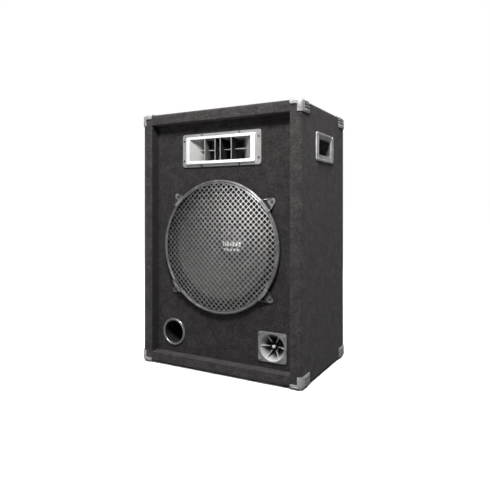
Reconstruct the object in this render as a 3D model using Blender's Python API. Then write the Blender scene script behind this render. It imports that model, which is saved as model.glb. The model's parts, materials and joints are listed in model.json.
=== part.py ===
"""PA speaker cabinet: a carpeted two-horn and woofer box with metal corners, in metres, +Z up.

The front faces -Y and the origin is under the middle of the cabinet, on the floor.
Depths inside a driver are counted from the carpeted face of the baffle, positive into the box.
"""
import bmesh
import bpy
from math import cos, pi, radians, sin

# Cabinet, over the carpet
WIDTH = 0.535
DEPTH = 0.358
HEIGHT = 0.768
EDGE_RADIUS = 0.008
CARPET = 0.002
PANEL = 0.015
BAFFLE = 0.018
LIP = 0.034              # carpeted frame at the baffle's sides, seen from the front
LIP_ENDS = 0.0325        # the same along its top and bottom
RECESS = 0.030           # baffle behind the lip
GAP = 0.0003             # between pieces that touch

# Corner protectors
CORNER_PROUD = 0.0027    # beyond the carpet
CORNER_LONG = 0.053      # along the depth
CORNER_WIDE = 0.033      # along the front's top and bottom
CORNER_TALL = 0.0335     # down the side
CORNER_LEG = 0.012       # leg width on the front and rear faces
CORNER_PLATE = 0.017     # whole part of the side plate; beyond it three fingers run back
SLOT = 0.0032            # between the fingers
SLOT_PLACES = (0.0040, 0.0122, 0.0203)      # slot middles, from the cabinet's top or bottom

# Openings in the baffle: centre X, centre Z above the carpeted bottom
WOOFER = (0.0, 0.365)
HORN = (0.0, 0.6515)
TWEETER = (0.1685, 0.092)
PORT = (-0.1705, 0.0945)

# Woofer radii
GRILLE_RADIUS = 0.196
FRAME_RADIUS = 0.192
CUTOUT_RADIUS = 0.1780
CONE_RADIUS = 0.160
CAP_RADIUS = 0.050
COIL_RADIUS = 0.0384
CONE_DEPTH = 0.079
MESH_CROWN = 0.022       # grille in front of the baffle at its middle
MESH_PITCH = 0.0470
MESH_BAR = 0.0090
CLAMP_ANGLES = (38, 136, 220, 319)
CLAMP_SCREW = 0.2130
CLAMP_TIP = 0.2240
CLAMP_HALF = 0.0205      # half its width where it grips the rim

# Mid horn
HORN_FLANGE = (0.1348, 0.0500)
HORN_BEZEL = (0.1178, 0.0412)
HORN_MOUTH = (0.1045, 0.0325)
HORN_PROUD = 0.011
HORN_DEPTH = 0.105
FIN_PLACES = (-0.0510, -0.0148, 0.0030, 0.0404)
FIN = 0.0025

# Tweeter and port
TWEETER_FLANGE = (0.0438, 0.0420)
TWEETER_MOUTH = 0.0375
TWEETER_DEPTH = 0.045
VANES = 6
VANE_TILT = -1
PORT_RADIUS = 0.0338
PORT_FLANGE = 0.0424
PORT_LENGTH = 0.120

# Handles: centre Y from the front face, centre Z
HANDLE = (0.1762, 0.654)
HANDLE_PLATE = (0.0728, 0.0405)
HANDLE_OPENING = (0.0560, 0.0225)
HANDLE_DEPTH = 0.062

# Rear terminals
TERMINAL = (0.0, 0.200)
TERMINAL_PLATE = (0.075, 0.055)
TERMINAL_WELL = (0.060, 0.040)
WELL_DEPTH = 0.020
JACK_X = -0.032
JACK_SPACING = 0.036
CLIP_X = 0.022
LEVER_X = 0.011
LEVER_HINGE = (0.002, -0.0125)   # above the clip block's middle, and out from the carpet
BOARD = (0.0, 0.360)
BOARD_SHEET = 0.002
BOARD_STAND = 0.008              # board off the rear panel

FRONT_Y = -DEPTH / 2
BACK_Y = DEPTH / 2
BOTTOM_Z = CORNER_PROUD
TOP_Z = BOTTOM_Z + HEIGHT
FACE_Y = FRONT_Y + RECESS
WOOD_X = WIDTH / 2 - CARPET - GAP
WOOD_LOW = BOTTOM_Z + CARPET + GAP
WOOD_HIGH = TOP_Z - CARPET - GAP
WOOD_FRONT = FRONT_Y + CARPET + GAP
WOOD_BACK = BACK_Y - CARPET - GAP
BAFFLE_FRONT = FACE_Y + CARPET + GAP
ROUND = 36               # sides of the large round pieces
INNER_ROUND = 24         # sides of the round pieces inside the box

COLOURS = {                      # base colour, roughness, metallic
    "carpet": ((0.035, 0.034, 0.033), 0.95, 0.0),
    "wood": ((0.32, 0.22, 0.13), 0.80, 0.0),
    "corner_metal": ((0.60, 0.60, 0.60), 0.35, 1.0),
    "grille_metal": ((0.28, 0.28, 0.28), 0.40, 1.0),
    "frame_metal": ((0.05, 0.05, 0.05), 0.45, 0.6),
    "paper": ((0.02, 0.02, 0.02), 0.80, 0.0),
    "rubber": ((0.015, 0.015, 0.015), 0.60, 0.0),
    "cloth": ((0.45, 0.25, 0.08), 0.90, 0.0),
    "copper": ((0.70, 0.35, 0.15), 0.35, 1.0),
    "steel": ((0.55, 0.56, 0.58), 0.35, 1.0),
    "ferrite": ((0.04, 0.04, 0.045), 0.70, 0.0),
    "horn_plastic": ((0.55, 0.55, 0.55), 0.35, 0.0),
    "black_plastic": ((0.02, 0.02, 0.02), 0.45, 0.0),
    "red_plastic": ((0.50, 0.02, 0.02), 0.35, 0.0),
    "board": ((0.05, 0.20, 0.08), 0.50, 0.0),
    "wadding": ((0.75, 0.75, 0.72), 1.00, 0.0),
}

for thing in list(bpy.data.objects):
    bpy.data.objects.remove(thing, do_unlink=True)


def material(name):
    """The material of one kind of piece, made once."""
    found = bpy.data.materials.get(name)
    if found:
        return found
    colour, roughness, metallic = COLOURS[name]
    made = bpy.data.materials.new(name)
    made.use_nodes = True
    shader = made.node_tree.nodes["Principled BSDF"]
    shader.inputs["Base Color"].default_value = (*colour, 1.0)
    shader.inputs["Roughness"].default_value = roughness
    shader.inputs["Metallic"].default_value = metallic
    made.diffuse_color = (*colour, 1.0)
    return made


def finished(mesh_data, name, finish=None, place=(0, 0, 0)):
    """An object from bmesh data, its faces pointing out; with no finish it is a cutter."""
    bmesh.ops.recalc_face_normals(mesh_data, faces=mesh_data.faces)
    mesh = bpy.data.meshes.new(name)
    mesh_data.to_mesh(mesh)
    mesh_data.free()
    thing = bpy.data.objects.new(name, mesh)
    thing.location = place
    bpy.context.scene.collection.objects.link(thing)
    if finish is None:
        thing.hide_render = True
        thing.display_type = "WIRE"
        return thing
    mesh.materials.append(material(finish))
    mesh.shade_smooth()
    mesh.set_sharp_from_angle(angle=radians(35))
    return thing


def combine(thing, other, operation="DIFFERENCE"):
    """One exact Boolean of the object with another, kept as a modifier."""
    change = thing.modifiers.new(other.name, "BOOLEAN")
    change.operation = operation
    change.solver = "EXACT"
    change.object = other


def block(name, corner, opposite, finish=None):
    """A box between two opposite corners."""
    data = bmesh.new()
    bmesh.ops.create_cube(data, size=1)
    for vertex in data.verts:
        vertex.co = [min(a, b) + abs(b - a) * (c + 0.5) for a, b, c in zip(corner, opposite, vertex.co)]
    return finished(data, name, finish)


def rounded_block(name, inset, radius, segments=3):
    """The cabinet's outer form, grown or shrunk by an inset, with all its edges rounded."""
    low = (-WIDTH / 2 + inset, FRONT_Y + inset, BOTTOM_Z + inset)
    high = (WIDTH / 2 - inset, BACK_Y - inset, TOP_Z - inset)
    thing = block(name, low, high)
    data = bmesh.new()
    data.from_mesh(thing.data)
    bmesh.ops.bevel(data, geom=data.edges[:], offset=radius, segments=segments, profile=0.5,
                    affect="EDGES")
    bmesh.ops.recalc_face_normals(data, faces=data.faces)
    data.to_mesh(thing.data)
    data.free()
    return thing


def prism(name, outline, axis, start, end, finish=None, place=(0, 0, 0)):
    """An outline of two coordinates, in X, Y, Z order, extruded along the third axis."""
    data = bmesh.new()
    rings = []
    for level in (start, end):
        ring = []
        for point in outline:
            spot = list(point)
            spot.insert("XYZ".index(axis), level)
            ring.append(data.verts.new(spot))
        rings.append(ring)
    data.faces.new(rings[0])
    data.faces.new(reversed(rings[1]))
    for i in range(len(outline)):
        j = (i + 1) % len(outline)
        data.faces.new((rings[0][j], rings[0][i], rings[1][i], rings[1][j]))
    return finished(data, name, finish, place)


def turned(name, profile, finish=None, place=(0, 0, 0), sides=ROUND):
    """A profile of (radius, depth) points turned about an axis along Y."""
    data = bmesh.new()
    rings = []
    for radius, depth in profile:
        turns = sides if radius else 1
        rings.append([
            data.verts.new((radius * cos(2 * pi * i / sides), depth, radius * sin(2 * pi * i / sides)))
            for i in range(turns)
        ])
    for one, two in zip(rings, rings[1:] + rings[:1]):
        if len(one) == 1 and len(two) == 1:
            continue
        for i in range(sides):
            j = (i + 1) % sides
            corners = [one[i % len(one)], one[j % len(one)], two[j % len(two)], two[i % len(two)]]
            data.faces.new(list(dict.fromkeys(corners)))
    return finished(data, name, finish, place)


def rounded_loop(half_wide, half_high, radius, steps=3, centre=(0.0, 0.0)):
    """Points of a rectangle with round corners, counter-clockwise from its right side."""
    points = []
    corners = ((1, 1, 0), (-1, 1, 90), (-1, -1, 180), (1, -1, 270))
    for side, up, start in corners:
        for i in range(steps + 1):
            angle = radians(start + 90 * i / steps)
            points.append((
                centre[0] + side * (half_wide - radius) + radius * cos(angle),
                centre[1] + up * (half_high - radius) + radius * sin(angle),
            ))
    return points


def lofted(name, sections, ring, finish=None, place=(0, 0, 0), axis="Y"):
    """A skin through sections of (half width, half height, level, corner radius, rise).

    With ring the last section joins the first, as round a duct; without it both ends are capped.
    """
    data = bmesh.new()
    loops = []
    for half_wide, half_high, level, radius, rise in sections:
        loop = []
        for a, b in rounded_loop(half_wide, half_high, radius, centre=(0.0, rise)):
            spot = [a, b]
            spot.insert("XYZ".index(axis), level)
            loop.append(data.verts.new(spot))
        loops.append(loop)
    count = len(loops[0])
    following = loops[1:] + (loops[:1] if ring else [])
    for one, two in zip(loops, following):
        for i in range(count):
            j = (i + 1) % count
            data.faces.new((one[i], one[j], two[j], two[i]))
    if not ring:
        data.faces.new(loops[0])
        data.faces.new(reversed(loops[-1]))
    return finished(data, name, finish, place)


def on_baffle(spot):
    """The place of a driver's axis on the carpeted face of the baffle."""
    return (spot[0], FACE_Y, BOTTOM_Z + spot[1])


def hole(name, spot, radius, near, far, sides=ROUND):
    """A round cutter through the baffle."""
    profile = ((0, near), (radius, near), (radius, far), (0, far))
    return turned(name, profile, place=on_baffle(spot), sides=sides)


def openings():
    """The cutters that carpet and wood share: four in the baffle, two handles, the terminals."""
    near = -0.02
    far = 0.06
    front = [
        hole("cut_woofer", WOOFER, CUTOUT_RADIUS, near, far),
        hole("cut_tweeter", TWEETER, TWEETER_MOUTH + 0.002, near, far, 32),
        hole("cut_port", PORT, PORT_RADIUS + 0.003, near, far, 32),
        lofted("cut_horn", [(0.120, 0.0425, level, 0.004, 0) for level in (near, far)], False,
               place=on_baffle(HORN)),
    ]
    for angle in CLAMP_ANGLES:
        spot = (
            WOOFER[0] + CLAMP_SCREW * cos(radians(angle)),
            WOOFER[1] + CLAMP_SCREW * sin(radians(angle)),
        )
        front.append(hole(f"cut_screw_{angle}", spot, 0.0024, near, 0.0175, 10))
    side = []
    for name, way in (("right", 1), ("left", -1)):
        sections = [(HANDLE_PLATE[0] - 0.005, HANDLE_PLATE[1] - 0.003, level, 0.006, 0)
                    for level in (way * (WIDTH / 2 - 0.03), way * (WIDTH / 2 + 0.03))]
        place = (0, FRONT_Y + HANDLE[0], BOTTOM_Z + HANDLE[1])
        side.append(lofted(f"cut_handle_{name}", sections, False, place=place, axis="X"))
    sections = [(TERMINAL_WELL[0] + 0.004, TERMINAL_WELL[1] + 0.004, level, 0.006, 0)
                for level in (BACK_Y - 0.03, BACK_Y + 0.03)]
    rear = lofted("cut_terminal", sections, False, place=(TERMINAL[0], 0, BOTTOM_Z + TERMINAL[1]))
    return front, side, rear


def carcass(front, side, rear):
    """Wooden panels and battens, then the carpet over them."""
    envelope = rounded_block("wood_envelope", CARPET + GAP, EDGE_RADIUS - CARPET)
    inner_x = WOOD_X - PANEL - GAP
    inner_low = WOOD_LOW + PANEL + GAP
    inner_high = WOOD_HIGH - PANEL - GAP
    covered = 2 * CARPET + PANEL + 3 * GAP
    batten_x = LIP - covered
    batten_z = LIP_ENDS - covered
    batten_back = BAFFLE_FRONT - GAP
    boards = {
        "side_panel_right": ((WOOD_X - PANEL, WOOD_FRONT, WOOD_LOW), (WOOD_X, WOOD_BACK, WOOD_HIGH)),
        "side_panel_left": ((-WOOD_X, WOOD_FRONT, WOOD_LOW), (PANEL - WOOD_X, WOOD_BACK, WOOD_HIGH)),
        "bottom_panel": ((-inner_x, WOOD_FRONT, WOOD_LOW), (inner_x, WOOD_BACK, WOOD_LOW + PANEL)),
        "top_panel": ((-inner_x, WOOD_FRONT, WOOD_HIGH - PANEL), (inner_x, WOOD_BACK, WOOD_HIGH)),
        "rear_panel": ((-inner_x, WOOD_BACK - PANEL, inner_low), (inner_x, WOOD_BACK, inner_high)),
        "front_baffle": ((-inner_x, BAFFLE_FRONT, inner_low), (inner_x, BAFFLE_FRONT + BAFFLE, inner_high)),
    }
    low = inner_low + batten_z
    high = inner_high - batten_z
    boards["front_batten_bottom"] = ((-inner_x, WOOD_FRONT, inner_low), (inner_x, batten_back, low))
    boards["front_batten_top"] = ((-inner_x, WOOD_FRONT, high), (inner_x, batten_back, inner_high))
    low += GAP
    high -= GAP
    boards["front_batten_right"] = ((inner_x - batten_x, WOOD_FRONT, low), (inner_x, batten_back, high))
    boards["front_batten_left"] = ((-inner_x, WOOD_FRONT, low), (batten_x - inner_x, batten_back, high))
    made = {name: block(name, *corners, "wood") for name, corners in boards.items()}
    for name in ("side_panel_right", "side_panel_left", "bottom_panel", "top_panel"):
        combine(made[name], envelope, "INTERSECT")
    for cutter in front:
        combine(made["front_baffle"], cutter)
    combine(made["side_panel_right"], side[0])
    combine(made["side_panel_left"], side[1])
    combine(made["rear_panel"], rear)

    recess_low = (LIP - WIDTH / 2, FRONT_Y - RECESS, BOTTOM_Z + LIP_ENDS)
    recess_high = (WIDTH / 2 - LIP, FACE_Y, TOP_Z - LIP_ENDS)
    recess = block("recess", recess_low, recess_high)
    under_low = (recess_low[0] - CARPET, recess_low[1], recess_low[2] - CARPET)
    under_high = (recess_high[0] + CARPET, FACE_Y + CARPET, recess_high[2] + CARPET)
    under_recess = block("under_recess", under_low, under_high)
    core = rounded_block("carpet_core", CARPET, EDGE_RADIUS - CARPET)
    combine(core, under_recess)
    skin = rounded_block("carpet_cover", 0, EDGE_RADIUS)
    skin.hide_render = False
    skin.display_type = "TEXTURED"
    skin.data.materials.append(material("carpet"))
    combine(skin, recess)
    combine(skin, core)
    for cutter in front + side + [rear]:
        combine(skin, cutter)


def corner_protectors():
    """Eight bent metal corners, one for each sign of X, Y and Z, their side plates slotted into fingers."""
    outer = rounded_block("corner_outer", -CORNER_PROUD, EDGE_RADIUS + CORNER_PROUD)
    inner = rounded_block("corner_inner", -GAP, EDGE_RADIUS + GAP)
    middle = BOTTOM_Z + HEIGHT / 2
    wide, deep, tall = WIDTH / 2, DEPTH / 2, HEIGHT / 2
    beyond = 2 * CORNER_PROUD
    steps = (
        (wide + beyond, tall + beyond),
        (wide - CORNER_WIDE, tall + beyond),
        (wide - CORNER_WIDE, tall - CORNER_LEG),
        (wide - CORNER_LEG, tall - CORNER_LEG),
        (wide - CORNER_LEG, tall - CORNER_TALL),
        (wide + beyond, tall - CORNER_TALL),
    )
    for side, side_name in ((1, "right"), (-1, "left")):
        for face, face_name in ((-1, "front"), (1, "rear")):
            for up, up_name in ((1, "top"), (-1, "bottom")):
                name = f"corner_{face_name}_{up_name}_{side_name}"
                outline = [(side * x, middle + up * z) for x, z in steps]
                corner = prism(name, outline, "Y", face * (deep + beyond), face * (deep - CORNER_LONG),
                               "corner_metal")
                combine(corner, outer, "INTERSECT")
                combine(corner, inner)
                for number, place in enumerate(SLOT_PLACES):
                    height = middle + up * (tall - place)
                    root = side * (wide - EDGE_RADIUS / 2), face * (deep - CORNER_PLATE)
                    open_end = side * (wide + beyond), face * (deep - CORNER_LONG - SLOT)
                    inside = (*root, height - SLOT / 2)
                    outside = (*open_end, height + SLOT / 2)
                    combine(corner, block(f"slot_{name}_{number}", inside, outside))


def grille():
    """Pressed rim, domed mesh, and four clamps with their screws."""
    place = on_baffle(WOOFER)
    rim = [
        (GRILLE_RADIUS, -0.0005), (GRILLE_RADIUS, -0.0130), (0.1935, -0.0160), (0.1905, -0.0142),
        (0.1875, -0.0160), (0.1845, -0.0142), (0.1845, -0.0126), (0.1936, -0.0120), (0.1936, -0.0005),
    ]
    turned("grille_rim", rim, "grille_metal", place)
    rings = 3
    edge = 0.183
    sheet = 0.0016
    outside = [(0.1930, -0.0115)]
    for i in range(rings, -1, -1):
        radius = edge * i / rings
        outside.append((radius, -0.0115 - (MESH_CROWN - 0.0115) * (1 - (i / rings) ** 2)))
    inside = [(radius, depth + sheet) for radius, depth in reversed(outside)]
    mesh = turned("grille_mesh", outside + inside, "grille_metal", place)
    data = bmesh.new()
    half = (MESH_PITCH - MESH_BAR) / 2
    count = 6
    for row in range(-count, count + 1):
        for column in range(-count, count + 1):
            x = (row + 0.5) * MESH_PITCH
            z = (column + 0.5) * MESH_PITCH
            if (abs(x) + half) ** 2 + (abs(z) + half) ** 2 > (edge - 0.004) ** 2:
                continue
            made = bmesh.ops.create_cube(data, size=1)["verts"]
            for vertex in made:
                a = x + vertex.co.x * 2 * half
                b = z + vertex.co.z * 2 * half
                vertex.co = ((a - b) * cos(pi / 4), vertex.co.y * 0.06, (a + b) * cos(pi / 4))
    combine(mesh, finished(data, "mesh_holes", place=place))
    for number, angle in enumerate(CLAMP_ANGLES, 1):
        turn = -radians(angle)
        side_line = [
            (0.1850, -0.0163), (0.1985, -0.0163), (0.2025, -0.0003), (CLAMP_TIP, -0.0003),
            (CLAMP_TIP, -0.0023), (0.2041, -0.0023), (0.2001, -0.0183), (0.1850, -0.0183),
        ]
        clamp = prism(f"grille_clamp_{number}", side_line, "Z", -CLAMP_HALF, CLAMP_HALF, "frame_metal", place)
        clamp.rotation_euler = (0, turn, 0)
        half_line = [(0.1800, 0.0210), (0.2000, 0.0195), (0.2195, 0.0075), (0.2250, 0.0040)]
        cheeks = half_line + [(r, -side) for r, side in reversed(half_line)]
        outline = prism(f"clamp_outline_{number}", cheeks, "Y", -0.03, 0.01, None, place)
        outline.rotation_euler = (0, turn, 0)
        combine(clamp, outline, "INTERSECT")
        spot = (
            WOOFER[0] + CLAMP_SCREW * cos(radians(angle)),
            WOOFER[1] + CLAMP_SCREW * sin(radians(angle)),
        )
        combine(clamp, hole(f"clamp_hole_{number}", spot, 0.0024, -0.01, 0.01, 10))
        screw = [
            (0, -0.0052), (0.0022, -0.0050), (0.0042, -0.0038), (0.0045, -0.0026),
            (0.0020, -0.0026), (0.0020, 0.0160), (0, 0.0160),
        ]
        turned(f"clamp_screw_{number}", screw, "steel", on_baffle(spot), 12)


def woofer():
    """Fixed pieces of the woofer, then the cone, dust cap and voice coil, which travel."""
    place = on_baffle(WOOFER)
    basket_line = [
        (FRAME_RADIUS, -0.0023), (FRAME_RADIUS, -0.0003), (0.1765, -0.0003), (0.1765, 0.0220),
        (0.1500, 0.0520), (0.0840, 0.0870), (0.0840, 0.1020), (0.0460, 0.1020), (0.0460, 0.1000),
        (0.0820, 0.1000), (0.0820, 0.0900), (0.0680, 0.0900), (0.0680, 0.0880), (0.0815, 0.0880),
        (0.0815, 0.0862), (0.1488, 0.0505), (0.1745, 0.0212), (0.1745, 0.0033), (0.1685, 0.0033),
        (0.1685, 0.0013), (0.1745, 0.0013), (0.1745, -0.0023),
    ]
    basket = turned("woofer_basket", basket_line, "frame_metal", place, 30)
    windows = 6
    spread = 0.36                        # half of one window's turn, in radians
    for i in range(windows):
        ray = 2 * pi * (i + 0.5) / windows
        outline = []
        for radius, turn in ((0.092, -spread), (0.146, -spread), (0.146, spread), (0.092, spread)):
            outline.append((radius * cos(ray + turn), radius * sin(ray + turn)))
        window = prism(f"basket_window_{i}", outline, "Y", 0.030, 0.097, None, place)
        combine(basket, window)
    gasket_line = [(0.190, -0.0056), (0.190, -0.0026), (0.1750, -0.0026), (0.1750, -0.0056)]
    turned("woofer_gasket", gasket_line, "rubber", place)

    # One forward half-roll, from the cone's edge to the ledge of the basket
    roll = 0.0055
    middle = 0.1650
    sheet = 0.0008
    front_line = [(middle - roll * cos(pi * i / 4), -roll * sin(pi * i / 4)) for i in range(5)]
    back_line = [(r, d + sheet) for r, d in reversed(front_line)]
    surround_line = [(0.1565, -0.0004)] + front_line + [(0.1742, 0.0)]
    surround_line += [(0.1742, sheet)] + back_line + [(0.1565, sheet - 0.0004)]
    turned("surround", surround_line, "rubber", place, 30)

    waves = 4
    spider_line = []
    for i in range(waves + 1):
        radius = 0.0405 + (0.0670 - 0.0405) * i / waves
        spider_line.append((radius, 0.0865 + 0.0012 * (-1) ** i))
    spider_line = [(0.0388, 0.0865)] + spider_line + [(0.0680, 0.0869), (0.0800, 0.0869)]
    spider_line += [(r, d + 0.0007) for r, d in reversed(spider_line)]
    turned("spider", spider_line, "cloth", place, INNER_ROUND)

    turned("top_plate", [(0.0750, 0.1023), (0.0750, 0.1103), (0.0402, 0.1103), (0.0402, 0.1023)],
           "steel", place, INNER_ROUND)
    turned("magnet", [(0.0780, 0.1106), (0.0780, 0.1306), (0.0450, 0.1306), (0.0450, 0.1106)],
           "ferrite", place, INNER_ROUND)
    pole_line = [
        (0.0364, 0.1010), (0.0364, 0.1309), (0.0750, 0.1309), (0.0750, 0.1389), (0.0120, 0.1389),
        (0.0120, 0.1010),
    ]
    turned("back_plate", pole_line, "steel", place, INNER_ROUND)

    cone_line = [
        (CONE_RADIUS, 0.0008), (0.1550, 0.0008), (0.0405, CONE_DEPTH), (0.0388, CONE_DEPTH + 0.0005),
        (0.0388, CONE_DEPTH + 0.0030), (0.0410, CONE_DEPTH + 0.0025), (0.1545, 0.0022),
        (CONE_RADIUS, 0.0020),
    ]
    turned("cone", cone_line, "paper", place, 30)
    steps = 4
    crown = 0.0150
    rim_depth = 0.0008 + (0.1550 - CAP_RADIUS) / (0.1550 - 0.0405) * (CONE_DEPTH - 0.0008) - 0.0012
    cap_line = []
    for i in range(steps + 1):
        radius = CAP_RADIUS * (1 - i / steps)
        cap_line.append((radius, rim_depth - crown * (1 - (radius / CAP_RADIUS) ** 2)))
    cap_line += [(r, d + 0.0008) for r, d in reversed(cap_line)]
    turned("dust_cap", cap_line, "paper", place, INNER_ROUND)
    coil_line = [
        (0.0372, 0.0760), (0.0372, 0.1120), (COIL_RADIUS, 0.1120), (COIL_RADIUS, 0.1110),
        (COIL_RADIUS + 0.001, 0.1110), (COIL_RADIUS + 0.001, 0.0970), (COIL_RADIUS, 0.0970),
        (COIL_RADIUS, 0.0760),
    ]
    turned("voice_coil", coil_line, "copper", place, INNER_ROUND)


def mid_horn():
    """Moulded horn: flange, raised bezel, flared duct, four fins and a divider; driver behind."""
    wall = 0.003
    place = on_baffle(HORN)
    flare = [(*HORN_MOUTH, -HORN_PROUD), (0.081, 0.0265, 0.012), (0.048, 0.0195, 0.050),
             (0.016, 0.014, HORN_DEPTH)]
    sections = [(w, h, d, 0.003, 0) for w, h, d in flare]
    sections += [(w + wall + 0.001, h + wall, d, 0.004, 0) for w, h, d in reversed(flare[1:])]
    sections += [
        (0.1120, 0.0380, -0.0003, 0.005, 0),
        (*HORN_FLANGE, -0.0003, 0.008, 0),
        (HORN_FLANGE[0], HORN_FLANGE[1], -0.0033, 0.008, 0),
        (HORN_FLANGE[0] - 0.001, HORN_FLANGE[1] - 0.001, -0.0043, 0.007, 0),
        (*HORN_BEZEL, -0.0043, 0.004, 0),
        (HORN_BEZEL[0] - 0.001, HORN_BEZEL[1] - 0.001, -HORN_PROUD, 0.003, 0),
    ]
    horn = lofted("mid_horn", sections, True, "horn_plastic", place)
    # Fins and divider run 1.5 mm into the walls that they join
    fin_line = [(-0.0100, 0.0336), (0.0120, 0.0280), (0.0280, 0.0249)]
    fin_outline = fin_line + [(d, -z) for d, z in reversed(fin_line)]
    for number, x in enumerate(FIN_PLACES):
        fin = prism(f"fin_{number}", fin_outline, "X", x - FIN / 2, x + FIN / 2, None, place)
        combine(horn, fin, "UNION")
    shelf_line = [(0.0825, 0.0120), (0.0582, 0.0400)]
    shelf_outline = shelf_line + [(-x, d) for x, d in reversed(shelf_line)]
    shelf = prism("divider", shelf_outline, "Z", -FIN / 2, FIN / 2, None, place)
    combine(horn, shelf, "UNION")
    driver_line = [
        (0, 0.1060), (0.0400, 0.1060), (0.0400, 0.1120), (0.0480, 0.1130), (0.0480, 0.1330),
        (0.0400, 0.1360), (0.0400, 0.1500), (0, 0.1500),
    ]
    turned("mid_driver", driver_line, "ferrite", place, INNER_ROUND)


def tweeter():
    """Square-flanged round horn with radial vanes and a centre plug; driver behind."""
    place = on_baffle(TWEETER)
    wide, high = TWEETER_FLANGE
    sections = [(wide, high, -0.0003, 0.006, 0), (wide, high, -0.0028, 0.006, 0),
                (wide - 0.001, high - 0.001, -0.0038, 0.005, 0)]
    horn = lofted("tweeter_horn", sections, False, "horn_plastic", place)
    flare_line = [
        (0, -0.0020), (0.0392, -0.0020), (0.0390, 0.0040), (0.0300, 0.0170), (0.0170, 0.0330),
        (0.0150, 0.0400), (0.0250, 0.0400), (0.0250, TWEETER_DEPTH), (0, TWEETER_DEPTH),
    ]
    combine(horn, turned("tweeter_flare", flare_line, None, place, 28), "UNION")
    bore_line = [
        (0, -0.0100), (TWEETER_MOUTH + 0.001, -0.0100), (TWEETER_MOUTH, -0.0030),
        (TWEETER_MOUTH - 0.001, 0.0025), (0.0275, 0.0150), (0.0145, 0.0310), (0.0080, 0.0370),
        (0.0080, TWEETER_DEPTH + 0.01), (0, TWEETER_DEPTH + 0.01),
    ]
    combine(horn, turned("tweeter_bore", bore_line, None, place, 28))
    for i in range(VANES):
        outline = [(0.0032, 0.0220), (0.0378, 0.0018), (0.0378, 0.0050), (0.0155, 0.0315), (0.0032, 0.0300)]
        vane = prism(f"vane_{i}", outline, "Z", -0.0014, 0.0014, None, place)
        vane.rotation_euler = (0, -radians(VANE_TILT + 360 * i / VANES), 0)
        combine(horn, vane, "UNION")
    plug_line = [(0, 0.0040), (0.0035, 0.0055), (0.0050, 0.0090), (0.0048, 0.0125), (0.0046, 0.0150),
                 (0.0046, 0.0320), (0, 0.0320)]
    combine(horn, turned("plug", plug_line, None, place, 16), "UNION")
    driver_line = [(0, 0.0455), (0.0260, 0.0455), (0.0340, 0.0480), (0.0340, 0.0600), (0.0300, 0.0640),
                   (0, 0.0640)]
    turned("tweeter_driver", driver_line, "black_plastic", place, INNER_ROUND)


def reflex_port():
    """Flanged tube through the baffle."""
    line = [
        (PORT_RADIUS, PORT_LENGTH), (PORT_RADIUS, -0.0010), (PORT_RADIUS + 0.0010, -0.0024),
        (PORT_FLANGE - 0.001, -0.0024), (PORT_FLANGE, -0.0014), (PORT_FLANGE, -0.0003),
        (PORT_RADIUS + 0.0025, -0.0003), (PORT_RADIUS + 0.0025, PORT_LENGTH),
    ]
    turned("reflex_port", line, "black_plastic", on_baffle(PORT), 28)


def handles():
    """Recessed carrying handles; the pocket reaches up behind the top of its opening."""
    wide, high = HANDLE_PLATE
    open_wide, open_high = HANDLE_OPENING
    sections = [                         # half length, half height, out from the carpet, radius, rise
        (open_wide - 0.0005, open_high + 0.0045, -HANDLE_DEPTH, 0.006, 0.006),
        (open_wide + 0.0015, open_high + 0.0060, -0.0200, 0.006, 0.006),
        (open_wide, open_high, -0.0120, 0.005, 0.0035),
        (open_wide, open_high, -0.0060, 0.005, 0.0035),
        (wide - 0.0075, high - 0.0075, 0.0013, 0.005, 0),
        (wide - 0.0055, high - 0.0050, 0.0028, 0.006, 0),
        (wide - 0.0010, high - 0.0010, 0.0032, 0.006, 0),
        (wide, high, 0.0022, 0.007, 0),
        (wide, high, 0.0003, 0.007, 0),
        (wide - 0.0060, high - 0.0040, 0.0003, 0.006, 0),
        (wide - 0.0085, high - 0.0085, -0.0006, 0.006, 0),
        (open_wide + 0.0030, open_high + 0.0030, -0.0090, 0.006, 0.0035),
        (open_wide + 0.0030, open_high + 0.0030, -0.0140, 0.006, 0.0035),
        (open_wide + 0.0045, open_high + 0.0085, -0.0225, 0.007, 0.006),
        (open_wide + 0.0025, open_high + 0.0075, -HANDLE_DEPTH - 0.003, 0.007, 0.006),
    ]
    for name, way in (("right", 1), ("left", -1)):
        placed = [(w, h, way * (WIDTH / 2 + out), r, rise) for w, h, out, r, rise in sections]
        place = (0, FRONT_Y + HANDLE[0], BOTTOM_Z + HANDLE[1])
        lofted(f"handle_{name}", placed, False, "corner_metal", place, "X")


def on_rear(x, z):
    """A place on the rear carpet, counted from the middle of the terminal plate."""
    return (TERMINAL[0] + x, BACK_Y, BOTTOM_Z + TERMINAL[1] + z)


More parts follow.
